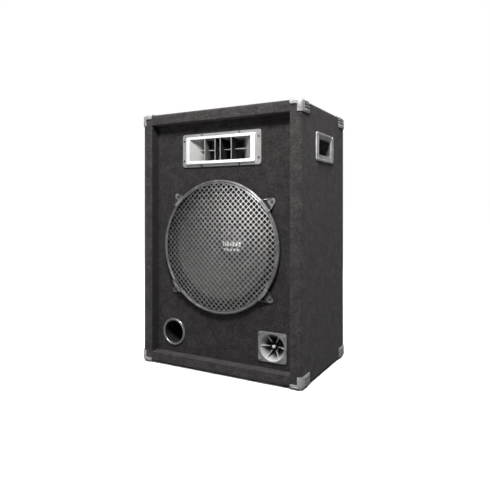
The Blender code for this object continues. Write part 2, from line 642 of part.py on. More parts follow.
def terminals():
    """Dished rear plate with two jack sockets and a spring-clip block with two levers."""
    wide, high = TERMINAL_PLATE
    well_wide, well_high = TERMINAL_WELL
    wall = 0.0025
    sections = [
        (well_wide - 0.003, well_high - 0.003, -WELL_DEPTH, 0.004, 0),
        (well_wide, well_high, 0.0020, 0.005, 0),
        (wide - 0.001, high - 0.001, 0.0024, 0.006, 0),
        (wide, high, 0.0014, 0.006, 0),
        (wide, high, 0.0003, 0.006, 0),
        (well_wide + wall + 0.001, well_high + wall + 0.001, 0.0003, 0.006, 0),
        (well_wide + wall, well_high + wall, -0.0007, 0.006, 0),
        (well_wide + wall - 0.003, well_high + wall - 0.003, -WELL_DEPTH - wall, 0.005, 0),
    ]
    plate = lofted("terminal_plate", sections, False, "black_plastic", on_rear(0, 0))
    for number, z in enumerate((JACK_SPACING / 2, -JACK_SPACING / 2), 1):
        place = on_rear(JACK_X, z)
        cutter = turned(f"jack_hole_{number}", [(0, -0.04), (0.0073, -0.04), (0.0073, 0), (0, 0)],
                        None, place, 24)
        combine(plate, cutter)
        nut = -WELL_DEPTH + 0.0003
        jack_line = [
            (0.0033, nut + 0.0040), (0.0090, nut + 0.0030), (0.0090, nut), (0.0070, nut),
            (0.0070, nut - 0.0240), (0, nut - 0.0240), (0, nut - 0.0220), (0.0033, nut - 0.0220),
        ]
        turned(f"jack_socket_{number}", jack_line, "black_plastic", place, 24)
    centre = on_rear(CLIP_X, 0)
    base = BACK_Y - WELL_DEPTH + GAP
    clip = block("clip_block", (centre[0] - 0.025, base, centre[2] - 0.019),
                 (centre[0] + 0.025, BACK_Y - 0.005, centre[2] + 0.019), "black_plastic")
    lever_line = [                       # out from the carpet, above the block's middle
        (-0.0150, 0.0015), (-0.0040, 0.0005), (-0.0015, 0.0130), (-0.0055, 0.0135), (-0.0145, 0.0045),
    ]
    for name, way, finish in (("red", -1, "red_plastic"), ("black", 1, "black_plastic")):
        x = centre[0] + way * LEVER_X
        pocket = block(f"pocket_{name}", (x - 0.0100, BACK_Y - 0.0178, centre[2] - 0.0012),
                       (x + 0.0100, BACK_Y + 0.01, centre[2] + 0.0165))
        combine(clip, pocket)
        wire_line = [(0, -0.0165), (0.0031, -0.0165), (0.0031, 0.01), (0, 0.01)]
        wire = turned(f"wire_hole_{name}", wire_line, None, (x, BACK_Y, centre[2] - 0.0105), 16)
        combine(clip, wire)
        hinge = (x, BACK_Y + LEVER_HINGE[1], centre[2] + LEVER_HINGE[0])
        outline = [(out - LEVER_HINGE[1], z - LEVER_HINGE[0]) for out, z in lever_line]
        prism(f"lever_{name}", outline, "X", -0.0092, 0.0092, finish, hinge)


def crossover():
    """Board on four posts on the rear panel, with its coil and capacitor."""
    wall = WOOD_BACK - PANEL - GAP
    x, z = BOARD[0], BOTTOM_Z + BOARD[1]
    face = wall - BOARD_STAND
    board = block("crossover_board", (x - 0.060, face - BOARD_SHEET, z - 0.040),
                  (x + 0.060, face, z + 0.040), "board")
    for i, (a, b) in enumerate(((-1, -1), (1, -1), (1, 1), (-1, 1))):
        line = [(0, face - 0.001), (0.004, face - 0.001), (0.004, wall), (0, wall)]
        post = turned(f"post_{i}", line, None, (x + a * 0.052, 0, z + b * 0.032), 12)
        combine(board, post, "UNION")
    near = face - BOARD_SHEET - GAP
    coil_line = [(0.024, near), (0.024, near - 0.018), (0.008, near - 0.018), (0.008, near)]
    turned("crossover_coil", coil_line, "copper", (x - 0.028, 0, z), 24)
    can_line = [(0, near), (0.011, near), (0.011, near - 0.026), (0, near - 0.026)]
    turned("crossover_capacitor", can_line, "black_plastic", (x + 0.020, 0, z), 20)


def smooth_route(corners, count):
    """Points on one smooth curve through the corners of a route."""
    padded = [corners[0], *corners, corners[-1]]
    spans = len(corners) - 1
    points = []
    for i in range(count + 1):
        along = min(spans * i / count, spans - 1e-9)
        span = int(along)
        t = along - span
        a, b, c, d = padded[span:span + 4]
        points.append([
            0.5 * (2 * q + (r - p) * t + (2 * p - 5 * q + 4 * r - s) * t ** 2
                   + (3 * q - p - 3 * r + s) * t ** 3)
            for p, q, r, s in zip(a, b, c, d)
        ])
    return points


def lead(name, corners, count):
    """A round lead along a route inside the box."""
    curve = bpy.data.curves.new(name, "CURVE")
    curve.dimensions = "3D"
    curve.bevel_depth = 0.0025
    curve.bevel_resolution = 2
    curve.use_fill_caps = True
    points = smooth_route(corners, count)
    spline = curve.splines.new("POLY")
    spline.points.add(len(points) - 1)
    for target, point in zip(spline.points, points):
        target.co = (*point, 1)
    curve.materials.append(material("rubber"))
    thing = bpy.data.objects.new(name, curve)
    bpy.context.scene.collection.objects.link(thing)


def wiring():
    """Leads from the rear sockets to the crossover, and from it to each driver."""
    clearance = 0.0012
    board_y = WOOD_BACK - PANEL - GAP - BOARD_STAND - BOARD_SHEET - clearance
    z = BOTTOM_Z + BOARD[1]
    jack_y = BACK_Y - WELL_DEPTH - 0.0245
    jack_z = BOTTOM_Z + TERMINAL[1] + JACK_SPACING / 2
    lead("input_lead", [
        (JACK_X, jack_y, jack_z), (JACK_X, 0.105, jack_z + 0.010), (-0.040, 0.095, z - 0.090),
        (-0.048, 0.115, z - 0.035), (-0.048, board_y, z - 0.030),
    ], 16)
    lead("woofer_lead", [
        (0.045, board_y, z + 0.028), (0.045, 0.110, z + 0.034), (0.085, 0.060, z + 0.060),
        (0.110, 0.000, z + 0.050), (0.108, -0.040, z + 0.030), (0.0865, -0.0540, z + 0.010),
    ], 16)
    lead("mid_lead", [
        (0.020, board_y, z + 0.032), (0.020, 0.105, z + 0.060), (0.016, 0.080, z + 0.150),
        (0.008, 0.060, z + 0.230), (0.004, 0.030, HORN[1] + BOTTOM_Z), (0.0, 0.0025, HORN[1] + BOTTOM_Z),
    ], 18)
    lead("tweeter_lead", [
        (0.045, board_y, z - 0.030), (0.060, 0.110, z - 0.050), (0.110, 0.070, z - 0.130),
        (0.160, 0.020, 0.150), (TWEETER[0], -0.040, TWEETER[1] + BOTTOM_Z + 0.010),
        (TWEETER[0], -0.0835, TWEETER[1] + BOTTOM_Z),
    ], 18)


def damping():
    """Wadding on the upper half of the rear panel."""
    wall = WOOD_BACK - PANEL - GAP
    block("damping_mat", (-0.180, wall - 0.025, 0.455), (0.180, wall, 0.725), "wadding")


front_cuts, side_cuts, rear_cut = openings()
carcass(front_cuts, side_cuts, rear_cut)
corner_protectors()
grille()
woofer()
mid_horn()
tweeter()
reflex_port()
handles()
terminals()
crossover()
wiring()
damping()
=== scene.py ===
"""Looks of the PA speaker cabinet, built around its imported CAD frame, in metres, +Z up.

The front faces -Y. Depths of a driver are counted from the carpeted face of the baffle, into the box.
"""
import json
from math import cos, hypot, pi, radians, sin, sqrt

import bmesh
import bpy
from mathutils import Matrix, Vector


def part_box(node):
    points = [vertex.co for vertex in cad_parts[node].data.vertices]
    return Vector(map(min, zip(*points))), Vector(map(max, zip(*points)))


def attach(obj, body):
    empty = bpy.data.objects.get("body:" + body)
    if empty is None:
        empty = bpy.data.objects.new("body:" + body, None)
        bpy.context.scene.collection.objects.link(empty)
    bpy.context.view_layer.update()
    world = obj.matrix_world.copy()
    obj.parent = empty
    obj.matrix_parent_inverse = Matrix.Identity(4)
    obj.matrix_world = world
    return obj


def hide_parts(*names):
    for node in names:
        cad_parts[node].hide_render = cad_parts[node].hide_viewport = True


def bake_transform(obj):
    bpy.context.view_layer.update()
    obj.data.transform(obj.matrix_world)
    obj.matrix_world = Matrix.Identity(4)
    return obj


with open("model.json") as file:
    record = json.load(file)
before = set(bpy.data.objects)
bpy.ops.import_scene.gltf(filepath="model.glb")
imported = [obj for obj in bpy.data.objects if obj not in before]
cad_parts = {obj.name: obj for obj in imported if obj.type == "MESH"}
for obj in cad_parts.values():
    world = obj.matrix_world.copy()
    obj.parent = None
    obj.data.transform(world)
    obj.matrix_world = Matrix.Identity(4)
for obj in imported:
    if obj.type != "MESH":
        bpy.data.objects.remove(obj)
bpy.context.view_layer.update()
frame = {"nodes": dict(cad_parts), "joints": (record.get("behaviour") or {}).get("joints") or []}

CABINET = "cabinet"
CONE_BODY = "cone_assembly"

# The cabinet, from the frame
OUT_LOW, OUT_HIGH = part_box("carpet_cover")
MIDDLE = (OUT_LOW + OUT_HIGH) / 2
HALF = (OUT_HIGH - OUT_LOW) / 2
FELT = 0.002             # carpet thickness
CLEAR = 0.0003           # kept between pieces that touch
CUT = 0.02               # how far a cutter reaches either side of a skin
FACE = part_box("front_baffle")[0].y - FELT - CLEAR
EDGE = 0.008             # outer rounding of the cabinet
LIP = 0.034              # carpeted frame at the sides of the recessed baffle
LIP_ENDS = 0.0325        # the same along its top and bottom
LIP_ROUND = 0.0022
INNER_ROUND = 0.0015

# Corner pressings
PROUD = OUT_LOW.z        # how far the corners stand out, so also the cabinet's height off the floor
CORNER_DEEP = 0.053
CORNER_WIDE = 0.033
CORNER_TALL = 0.0335
CORNER_LEG = 0.012
CORNER_PLATE = 0.017     # whole part of the side plate, before its three fingers
SLOT = 0.0032
SLOT_PLACES = (0.004, 0.0122, 0.0203)
BEAD_SUNK = 0.0004       # how far a bead's axis lies under the plate's face

# Woofer radii and depths
RIM_FRONT = -0.016
RIDGES = (0.1948, 0.1852)
WIRE_PITCH = 0.0118
WIRE_WIDE = 0.00105      # half width of a wire
WIRE_THICK = 0.00075     # half thickness
WIRE_CRIMP = 0.0002
WIRE_SECTION = ((1, 0.6), (0.88, 0.94), (0, 1), (-0.88, 0.94), (-1, 0.6), (-0.85, -1), (0.85, -1))
WIRE_REACH = 0.1885      # radius where the wires end, under the rim
WIRE_HELD = 0.186        # radius where their crimp has faded out
DOME_RADIUS = 0.183
DOME_EDGE = -0.0115
DOME_CROWN = -0.022
CONE_EDGE = 0.16
CONE_LIP = 0.155         # where the slope begins, inside the glued edge
CONE_NECK = 0.0405
CONE_TOP = 0.0008
CONE_DEEP = 0.079
CONE_RINGS = (0.072, 0.088, 0.104, 0.12, 0.136)
CAP_RADIUS = 0.05
CAP_CROWN = 0.015
CAP_RIM = 0.0715
CLAMP_ANGLES = (38, 136, 220, 319)
CLAMP_SCREW = 0.213
CLAMP_TIP = 0.224
CLAMP_HALF = 0.0205
CLAMP_FRONT = -0.0174    # depth of its strip over the rim
CLAMP_FOOT = -0.0016     # depth of its ear on the baffle

# Mid horn
HORN_FLANGE = (0.1348, 0.05)
HORN_BEZEL = (0.1178, 0.0412)
HORN_MOUTH = (0.1045, 0.0325)
HORN_PROUD = 0.011
HORN_FLARE = (           # half width, half height, depth
    (0.0945, 0.0318, 0), (0.081, 0.031, 0.012), (0.069, 0.03, 0.025), (0.058, 0.0285, 0.038),
    (0.048, 0.0265, 0.05), (0.03, 0.0205, 0.077), (0.016, 0.014, 0.105),
)
FIN_PLACES = (-0.051, -0.0148, 0.003, 0.0404)
FIN = 0.0025

# Tweeter and port
TWEETER_FLANGE = (0.0438, 0.042)
TWEETER_MOUTH = 0.0375
VANES = 6
VANE_TILT = -1
VANE_HALF = 0.0017       # half thickness
VANE_OUTLINE = (         # radius, depth
    (0.003, 0.023), (0.0095, 0.019), (0.013, 0.0105), (0.026, 0.0056), (0.0376, 0.0006),
    (0.0379, 0.0036), (0.0155, 0.0315), (0.003, 0.03),
)
BALL = 0.0052
BALL_DEEP = 0.0088
PORT_RADIUS = 0.0338
PORT_FLANGE = 0.0424
PORT_LONG = 0.12

# Handles and terminals
HANDLE_PLATE = (0.0728, 0.0405)
HANDLE_OPENING = (0.056, 0.0225)
HANDLE_DEEP = 0.062
HANDLE_POCKET = (        # beyond the opening in length and height, out from the carpet, radius, rise
    (-0.0005, 0.0045, -HANDLE_DEEP, 0.006, 0.006), (0.0015, 0.006, -0.02, 0.006, 0.006),
    (-0.003, 0, -0.011, 0.005, 0.002), (-0.0047, 0, -0.0026, 0.004, 0.001),
    (-0.0044, 0.0006, -0.0016, 0.004, 0.0008),
)
HANDLE_RIM = (           # beyond the plate in length and height, out from the carpet, radius
    (-0.0205, -0.007, 0.0014, 0.0045), (-0.0198, -0.006, 0.0026, 0.0048), (-0.0184, -0.005, 0.0032, 0.005),
    (-0.012, -0.0039, 0.0032, 0.0054), (-0.0106, -0.0034, 0.0021, 0.0056),
    (-0.0086, -0.0028, 0.0021, 0.006), (-0.0072, -0.0023, 0.0032, 0.0062),
    (-0.0016, -0.0011, 0.0032, 0.0066), (-0.0004, -0.0003, 0.0026, 0.007), (0, 0, 0.0016, 0.007),
    (0, 0, 0.0003, 0.007), (-0.006, -0.004, 0.0003, 0.006), (-0.0085, -0.0085, -0.0012, 0.006),
)
HANDLE_BACK = (          # as the pocket, outside the tray's wall
    (0.003, 0.003, -0.009, 0.006, 0.0035), (0.003, 0.003, -0.014, 0.006, 0.0035),
    (0.0045, 0.0085, -0.0225, 0.007, 0.006), (0.0025, 0.0075, -HANDLE_DEEP - 0.003, 0.007, 0.006),
)
TERMINAL_PLATE = (0.075, 0.055)
TERMINAL_WELL = (0.06, 0.04)
WELL_DEEP = 0.02


def middle(node):
    """The middle of a CAD node's box."""
    low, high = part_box(node)
    return (low + high) / 2


WOOFER, HORN, TWEETER, PORT = (
    Vector((middle(node).x, FACE, middle(node).z))
    for node in ("woofer_basket", "mid_horn", "tweeter_horn", "reflex_port")
)
HANDLE = Vector((0, middle("handle_right").y, middle("handle_right").z))
TERMINAL = Vector((middle("terminal_plate").x, OUT_HIGH.y, middle("terminal_plate").z))


# ---- materials

FINE_SHARE = 0.55        # of fine grain in a moulded surface's tone
BROAD_SHARE = 0.45       # of broad mottling


def shade(colour, factor):
    """A colour made lighter or darker."""
    return tuple(min(1.0, c * factor) for c in colour)


class Finish:
    """A node material around one Principled shader, and short ways to add nodes to it."""

    def __init__(self, name):
        self.material = bpy.data.materials.new(name)
        self.material.use_nodes = True
        self.tree = self.material.node_tree
        self.shader = self.tree.nodes["Principled BSDF"]
        self.place = self.node("ShaderNodeTexCoord").outputs["Object"]

    def constant(self, node=None, **values):
        """Values set on the sockets of a node, or else of the shader."""
        for key, value in values.items():
            (node or self.shader).inputs[key.replace("_", " ")].default_value = value

    def node(self, kind, **values):
        made = self.tree.nodes.new(kind)
        self.constant(made, **values)
        return made

    def join(self, source, target):
        self.tree.links.new(source, target)

    def stretched(self, scale, turn=(0, 0, 0)):
        """Coordinates scaled differently along each axis."""
        mapping = self.node("ShaderNodeMapping", Scale=scale, Rotation=turn)
        self.join(self.place, mapping.inputs["Vector"])
        return mapping.outputs["Vector"]

    def noise(self, scale, detail=3.0, distortion=0.0, place=None):
        made = self.node("ShaderNodeTexNoise", Scale=scale, Detail=detail, Distortion=distortion)
        self.join(place or self.place, made.inputs["Vector"])
        return made.outputs["Fac"]

    def mixed(self, one, share, two, rest):
        """Two sources added, each times its share."""
        return self.maths("ADD", self.maths("MULTIPLY", one, share), self.maths("MULTIPLY", two, rest))

    def maths(self, operation, one, two):
        made = self.node("ShaderNodeMath")
        made.operation = operation
        for socket, value in zip(made.inputs, (one, two)):
            if isinstance(value, (int, float)):
                socket.default_value = value
            else:
                self.join(value, socket)
        return made.outputs[0]

    def between(self, source, low, high, start=0.3, end=0.7):
        """The source, spread from low to high."""
        made = self.node("ShaderNodeMapRange", From_Min=start, From_Max=end, To_Min=low, To_Max=high)
        self.join(source, made.inputs["Value"])
        return made.outputs["Result"]

    def colours(self, source, *stops, tone=1.0):
        """A colour ramp of (position, colour) stops, all of them made lighter or darker by a tone."""
        ramp = self.node("ShaderNodeValToRGB")
        elements = ramp.color_ramp.elements
        while len(elements) < len(stops):
            elements.new(0.5)
        for element, (position, colour) in zip(elements, stops):
            element.position = position
            element.color = (*shade(colour, tone), 1.0)
        self.join(source, ramp.inputs["Fac"])
        self.join(ramp.outputs["Color"], self.shader.inputs["Base Color"])

    def roughness(self, source, low, high):
        self.join(self.between(source, low, high), self.shader.inputs["Roughness"])

    def bump(self, source, strength, distance):
        bump = self.node("ShaderNodeBump", Strength=strength, Distance=distance)
        self.join(source, bump.inputs["Height"])
        self.join(bump.outputs["Normal"], self.shader.inputs["Normal"])


def grained(made, colour, rough, metallic, grain, mottle=22.0, spread=0.16, bump=0.0001, strength=0.35):
    """A moulded, cast or painted surface: fine grain, broad mottling and uneven gloss."""
    fine = made.noise(grain, 4.0)
    broad = made.noise(mottle, 3.0, 0.4)
    mixed = made.mixed(fine, FINE_SHARE, broad, BROAD_SHARE)
    made.colours(mixed, (0.32, shade(colour, 1 - spread)), (0.5, colour),
                 (0.68, shade(colour, 1 + spread)))
    made.roughness(broad, *rough)
    made.bump(fine, strength, bump)
    made.constant(Metallic=metallic)


def painted_depth_shade(made, colour, rough, near, far, metallic=0.0):
    """Moulded grey plastic with fine grain, and painted shade: its colour darkens to black between two
    depths along Y.
    """
    fine = made.noise(850.0, 4.0)
    broad = made.noise(30.0, 3.0, 0.4)
    mixed = made.mixed(fine, FINE_SHARE, broad, BROAD_SHARE)
    split = made.node("ShaderNodeSeparateXYZ")
    made.join(made.place, split.inputs["Vector"])
    # Painted shade: the tone drops with depth into the box, standing in for the shade deep in a horn.
    paint = made.maths("SUBTRACT", mixed, made.between(split.outputs["Y"], 0.0, 0.5, near, far))
    made.colours(paint, (0.0, shade(colour, 0.03)), (0.32, shade(colour, 0.72)), (0.5, colour),
                 (0.68, shade(colour, 1.25)))
    made.roughness(broad, *rough)
    made.bump(fine, 0.35, 0.00014)
    made.constant(Metallic=metallic)


def felt(made, tone):
    """Needle-punched carpet: matted fibres, lighter specks and a soft sheen."""
    fibres = made.noise(420.0, 6.0, 2.6)
    crossed = made.noise(260.0, 5.0, 1.8, made.stretched((1.0, 1.2, 0.85), (0.5, 0.3, 0.9)))
    broad = made.noise(34.0, 4.0, 0.6)
    specks = made.noise(900.0, 2.0)
    matted = made.mixed(fibres, 0.68, crossed, 0.32)
    toned = made.mixed(matted, 0.86, broad, 0.14)
    toned = made.maths("ADD", toned, made.between(specks, 0.0, 0.12, 0.62, 0.74))
    made.colours(toned, (0.38, (0.0056, 0.005, 0.0051)), (0.5, (0.0238, 0.0213, 0.0215)),
                 (0.62, (0.087, 0.0785, 0.0792)), tone=tone)
    made.bump(matted, 0.85, 0.0012)
    made.constant(Roughness=0.96, Specular_IOR_Level=0.15, Sheen_Weight=0.06, Sheen_Roughness=0.55,
                  Sheen_Tint=(0.92, 0.9, 0.88, 1.0))


def plated(made, tone):
    """Zinc-plated pressed steel: fine rolling lines, soft dents and a few dull patches."""
    lines = made.noise(60.0, 4.0, 0.0, made.stretched((1.0, 14.0, 14.0)))
    broad = made.noise(38.0, 4.0, 0.8)
    dents = made.noise(110.0, 2.0, 0.3)
    mixed = made.mixed(lines, 0.4, broad, 0.6)
    made.colours(mixed, (0.3, (0.25, 0.248, 0.246)), (0.5, (0.38, 0.377, 0.374)),
                 (0.7, (0.52, 0.52, 0.52)), tone=tone)
    made.roughness(mixed, 0.42, 0.58)
    made.bump(made.maths("ADD", made.maths("MULTIPLY", lines, 0.3), dents), 0.35, 0.0003)
    made.constant(Metallic=0.55)


def enamelled(made, dark, light, rough, metallic):
    """Grey enamel on wire or pressed steel, rubbed lighter in places, with an orange-peel surface."""
    peel = made.noise(900.0, 2.0)
    rubbed = made.noise(55.0, 5.0, 0.5)
    made.colours(rubbed, (0.34, dark), (0.52, shade(dark, 1.25)), (0.72, light))
    made.roughness(rubbed, *rough)
    made.bump(peel, 0.25, 0.00012)
    made.constant(Metallic=metallic)


def chipboard(made):
    """Pressed wood panels: flakes in several browns."""
    flakes = made.node("ShaderNodeTexVoronoi", Scale=320.0)
    made.join(made.stretched((1.0, 1.0, 0.45)), flakes.inputs["Vector"])
    grain = made.noise(900.0, 4.0)
    tone = made.mixed(flakes.outputs["Color"], 0.5, grain, 0.5)
    made.colours(tone, (0.25, (0.16, 0.1, 0.055)), (0.5, (0.33, 0.225, 0.13)),
                 (0.75, (0.5, 0.37, 0.23)))
    made.bump(tone, 0.4, 0.0004)
    made.constant(Roughness=0.85)


def woven(made, dark, light, scale):
    """Cloth: two crossing sets of threads, in the plane across the driver's axis."""
    waves = []
    for turn in (pi / 4, -pi / 4):
        wave = made.node("ShaderNodeTexWave", Scale=scale, Distortion=0.6)
        wave.bands_direction = "X"
        made.join(made.stretched((1, 1, 1), (0, turn, 0)), wave.inputs["Vector"])
        waves.append(wave.outputs["Fac"])
    threads = made.maths("MULTIPLY", *waves)
    toned = made.maths("ADD", threads, made.maths("MULTIPLY", made.noise(90.0), 0.3))
    made.colours(toned, (0.1, dark), (0.8, light))
    made.bump(threads, 0.6, 0.0004)
    made.constant(Roughness=0.85)


def pulp(made):
    """Pressed paper pulp of the cone and cap: short fibres, coated dark grey."""
    fibres = made.noise(520.0, 6.0, 3.0)
    broad = made.noise(30.0, 3.0, 0.5)
    made.colours(made.mixed(fibres, 0.7, broad, 0.3), (0.34, (0.042, 0.041, 0.04)),
                 (0.5, (0.069, 0.067, 0.065)), (0.66, (0.1, 0.097, 0.095)))
    made.roughness(fibres, 0.62, 0.85)
    made.bump(fibres, 0.5, 0.0004)


# colour, roughness range, metallic, grain, mottle, spread of tone, depth and strength of the bump
GRAINED = {
    "handle_tray": ((0.36, 0.355, 0.35), (0.4, 0.55), 0.6, 500.0, 40.0, 0.25, 0.0002),
    "handle_dark": ((0.12, 0.119, 0.118), (0.5, 0.7), 0.0, 500.0),
    # Black paint of the woofer frame and the rim's skirt; on the clamps it is painted shade.
    "frame_paint": ((0.018, 0.018, 0.019), (0.35, 0.5), 0.3, 800.0),
    "screw_steel": ((0.55, 0.55, 0.55), (0.22, 0.4), 1.0, 900.0, 200.0, 0.2, 0.0001),
    "dull_screw": ((0.3, 0.298, 0.294), (0.4, 0.55), 0.7, 900.0, 200.0, 0.2, 0.0001),
    "dark_screw": ((0.1, 0.1, 0.1), (0.3, 0.45), 0.9, 900.0, 200.0, 0.2, 0.0001),
    "machined_steel": ((0.5, 0.51, 0.53), (0.25, 0.42), 1.0, 1200.0, 60.0, 0.18),
    "gasket_foam": ((0.02, 0.02, 0.02), (0.85, 0.98), 0.0, 1500.0, 60.0, 0.4, 0.0006, 0.8),
    "coil_former": ((0.42, 0.26, 0.12), (0.45, 0.6), 0.0, 900.0, 50.0, 0.15),
    "copper_wire": ((0.72, 0.33, 0.14), (0.22, 0.38), 1.0, 1400.0, 90.0, 0.18, 0.0003, 0.6),
    "ferrite": ((0.045, 0.045, 0.048), (0.6, 0.8), 0.0, 1100.0, 30.0, 0.35, 0.0003),
    # Painted shade: black for the sideways faces deep in the mid horn.
    "horn_inner": ((0.012, 0.012, 0.012), (0.5, 0.65), 0.0, 850.0, 30.0, 0.3, 0.00014),
    "horn_flange": ((0.26, 0.257, 0.252), (0.36, 0.5), 0.2, 850.0, 30.0, 0.25, 0.00014),
    "horn_bezel": ((0.86, 0.86, 0.86), (0.18, 0.3), 0.35, 1200.0, 30.0, 0.05, 0.00005, 0.2),
    "tweeter_flange": ((0.16, 0.158, 0.156), (0.36, 0.5), 0.2, 620.0, 60.0, 0.55, 0.0002),
    "tweeter_ball": ((0.42, 0.416, 0.41), (0.34, 0.45), 0.0, 900.0, 60.0, 0.2),
    "black_plastic": ((0.016, 0.016, 0.017), (0.3, 0.48), 0.0, 900.0, 40.0, 0.3, 0.00015),
    "red_plastic": ((0.42, 0.012, 0.01), (0.26, 0.4), 0.0, 900.0, 40.0, 0.15),
    "port_plastic": ((0.02, 0.02, 0.02), (0.32, 0.5), 0.0, 900.0, 40.0, 0.3, 0.00015),
    "port_flange": ((0.22, 0.218, 0.215), (0.2, 0.3), 0.65, 900.0, 40.0, 0.2),
    "circuit_board": ((0.03, 0.13, 0.05), (0.35, 0.5), 0.0, 400.0, 60.0, 0.3),
    "lead_rubber": ((0.014, 0.014, 0.014), (0.5, 0.65), 0.0, 1000.0, 50.0, 0.3),
    "wadding": ((0.66, 0.65, 0.62), (0.95, 1.0), 0.0, 220.0, 40.0, 0.15, 0.003, 0.9),
    "emblem_paint": ((0.93, 0.93, 0.92), (0.35, 0.5), 0.0, 900.0, 90.0, 0.06, 0.00005),
}
OTHERS = {
    # Painted shade: two darker copies of the felt, for the recessed baffle and for the side walls of its
    # recess.
    "carpet": (felt, 1.15), "carpet_baffle": (felt, 0.74), "carpet_wall": (felt, 0.4),
    "chipboard": (chipboard,), "cone_paper": (pulp,),
    "plated_steel": (plated, 1.0), "handle_plate": (plated, 1.5),
    "rim_enamel": (enamelled, (0.13, 0.128, 0.126), (0.28, 0.277, 0.274), (0.32, 0.42), 0.55),
    "mesh_enamel": (enamelled, (0.36, 0.357, 0.353), (0.54, 0.535, 0.53), (0.3, 0.35), 1.0),
    "clamp_enamel": (enamelled, (0.13, 0.129, 0.127), (0.34, 0.336, 0.332), (0.28, 0.4), 0.5),
    "surround_cloth": (woven, (0.01, 0.01, 0.01), (0.045, 0.044, 0.043), 260.0),
    "spider_cloth": (woven, (0.22, 0.12, 0.035), (0.55, 0.34, 0.12), 240.0),
    # Painted shade: the mid horn's grey darkens to black with depth.
    "horn_plastic": (painted_depth_shade, (0.36, 0.356, 0.351), (0.38, 0.52), FACE + 0.008, FACE + 0.048, 0.1),
    # Painted shade: a darker grey for the first fin's sides, fading to black with depth.
    "horn_fin": (painted_depth_shade, (0.15, 0.149, 0.147), (0.4, 0.55), FACE - 0.008, FACE + 0.026),
    # Painted shade: the tweeter's bowl and vanes darken to black with depth.
    "tweeter_plastic": (painted_depth_shade, (0.4, 0.396, 0.39), (0.42, 0.55), FACE + 0.002, FACE + 0.018),
}


def finished(name, maker, *values):
    """A material with the nodes that its maker adds."""
    made = Finish(name)
    maker(made, *values)
    return made.material


FINISH = {name: finished(name, *values) for name, values in OTHERS.items()}
FINISH.update({name: finished(name, grained, *values) for name, values in GRAINED.items()})


# ---- mesh tools

def linked(name, data):
    """An object of the scene with a mesh, light or camera."""
    made = bpy.data.objects.new(name, data)
    bpy.context.scene.collection.objects.link(made)
    return made


def loose(data, name="loose"):
    """A bare object from bmesh data."""
    bmesh.ops.recalc_face_normals(data, faces=data.faces)
    mesh = bpy.data.meshes.new(name)
    data.to_mesh(mesh)
    data.free()
    return linked(name, mesh)


def painted(made, finishes, angle):
    """The object with its finishes, in the order of material_index, smooth up to an angle."""
    for finish in finishes.split():
        made.data.materials.append(FINISH[finish])
    made.data.shade_smooth()
    made.data.set_sharp_from_angle(angle=radians(angle))
    return made


def settled(thing):
    """The object's mesh with its modifiers applied, as bmesh data; the object goes."""
    data = bmesh.new()
    data.from_object(thing, bpy.context.evaluated_depsgraph_get())
    mesh = thing.data
    bpy.data.objects.remove(thing)
    bpy.data.meshes.remove(mesh)
    return data


def combined(data, others, operation="DIFFERENCE"):
    """The data after an exact Boolean with each of the others."""
    base = loose(data)
    tools = [loose(other, "tool") for other in others]
    for tool in tools:
        change = base.modifiers.new("change", "BOOLEAN")
        change.operation = operation
        change.solver = "EXACT"
        change.object = tool
    result = settled(base)
    for tool in tools:
        bpy.data.objects.remove(tool)
    bmesh.ops.remove_doubles(result, verts=result.verts, dist=1e-6)
    return result


def softened(data, width, segments=2, angle=30):
    """The data with its hard edges rounded."""
    edges = [e for e in data.edges if len(e.link_faces) == 2 and e.calc_face_angle() > radians(angle)]
    bmesh.ops.bevel(data, geom=edges, offset=width, segments=segments, profile=0.5, affect="EDGES",
                    clamp_overlap=True)
    return data


def moved(data, matrix):
    """The data transformed."""
    bmesh.ops.transform(data, matrix=matrix, verts=data.verts)
    return data


def copied(thing):
    """An object's mesh as new bmesh data."""
    data = bmesh.new()
    data.from_mesh(thing.data)
    return data


def gathered(parts):
    """Several bmesh data as one."""
    whole = bmesh.new()
    for part in parts:
        mesh = bpy.data.meshes.new("part")
        part.to_mesh(mesh)
        part.free()
        whole.from_mesh(mesh)
        bpy.data.meshes.remove(mesh)
    return whole


def piece(name, data, finishes, nodes=(), body=CABINET, angle=32, weighted=False):
    """A named piece of the object from bmesh data, on its body and in the place of CAD nodes."""
    made = painted(loose(data, name), finishes, angle)
    if weighted:
        made.modifiers.new("normals", "WEIGHTED_NORMAL").keep_sharp = True
    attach(made, body)
    if nodes:
        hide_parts(*nodes)


def skinned(data, rings, closed=False, capped=True):
    """Faces between rings of vertices, any of which may be a single point."""
    sides = max(len(ring) for ring in rings)
    for one, two in zip(rings, rings[1:] + (rings[:1] if closed else [])):
        if len(one) == len(two) == 1:
            continue
        for i in range(sides):
            j = (i + 1) % sides
            corners = [one[i % len(one)], one[j % len(one)], two[j % len(two)], two[i % len(two)]]
            data.faces.new(list(dict.fromkeys(corners)))
    if capped:
        data.faces.new(rings[0])
        data.faces.new(reversed(rings[-1]))
    return data


def arc(radius, depth, size, start, end, steps):
    """Points of a round stretch of a turned profile; 0 degrees points outwards, 90 into the box."""
    turns = [radians(start + (end - start) * i / steps) for i in range(steps + 1)]
    return [(radius + size * cos(t), depth + size * sin(t)) for t in turns]


def turned(profile, place=(0, 0, 0), sides=96):
    """A closed profile of (radius, depth) points turned about an axis along Y."""
    data = bmesh.new()
    rings = []
    for radius, depth in profile:
        count = sides if radius > 1e-9 else 1
        rings.append([
            data.verts.new((
                place[0] + radius * cos(2 * pi * i / sides),
                place[1] + depth,
                place[2] + radius * sin(2 * pi * i / sides),
            ))
            for i in range(count)
        ])
    return skinned(data, rings, closed=True, capped=False)


def drum(radius, front, back, place, sides=96):
    """A solid cylinder along Y."""
    return turned([(0, front), (radius, front), (radius, back), (0, back)], place, sides)


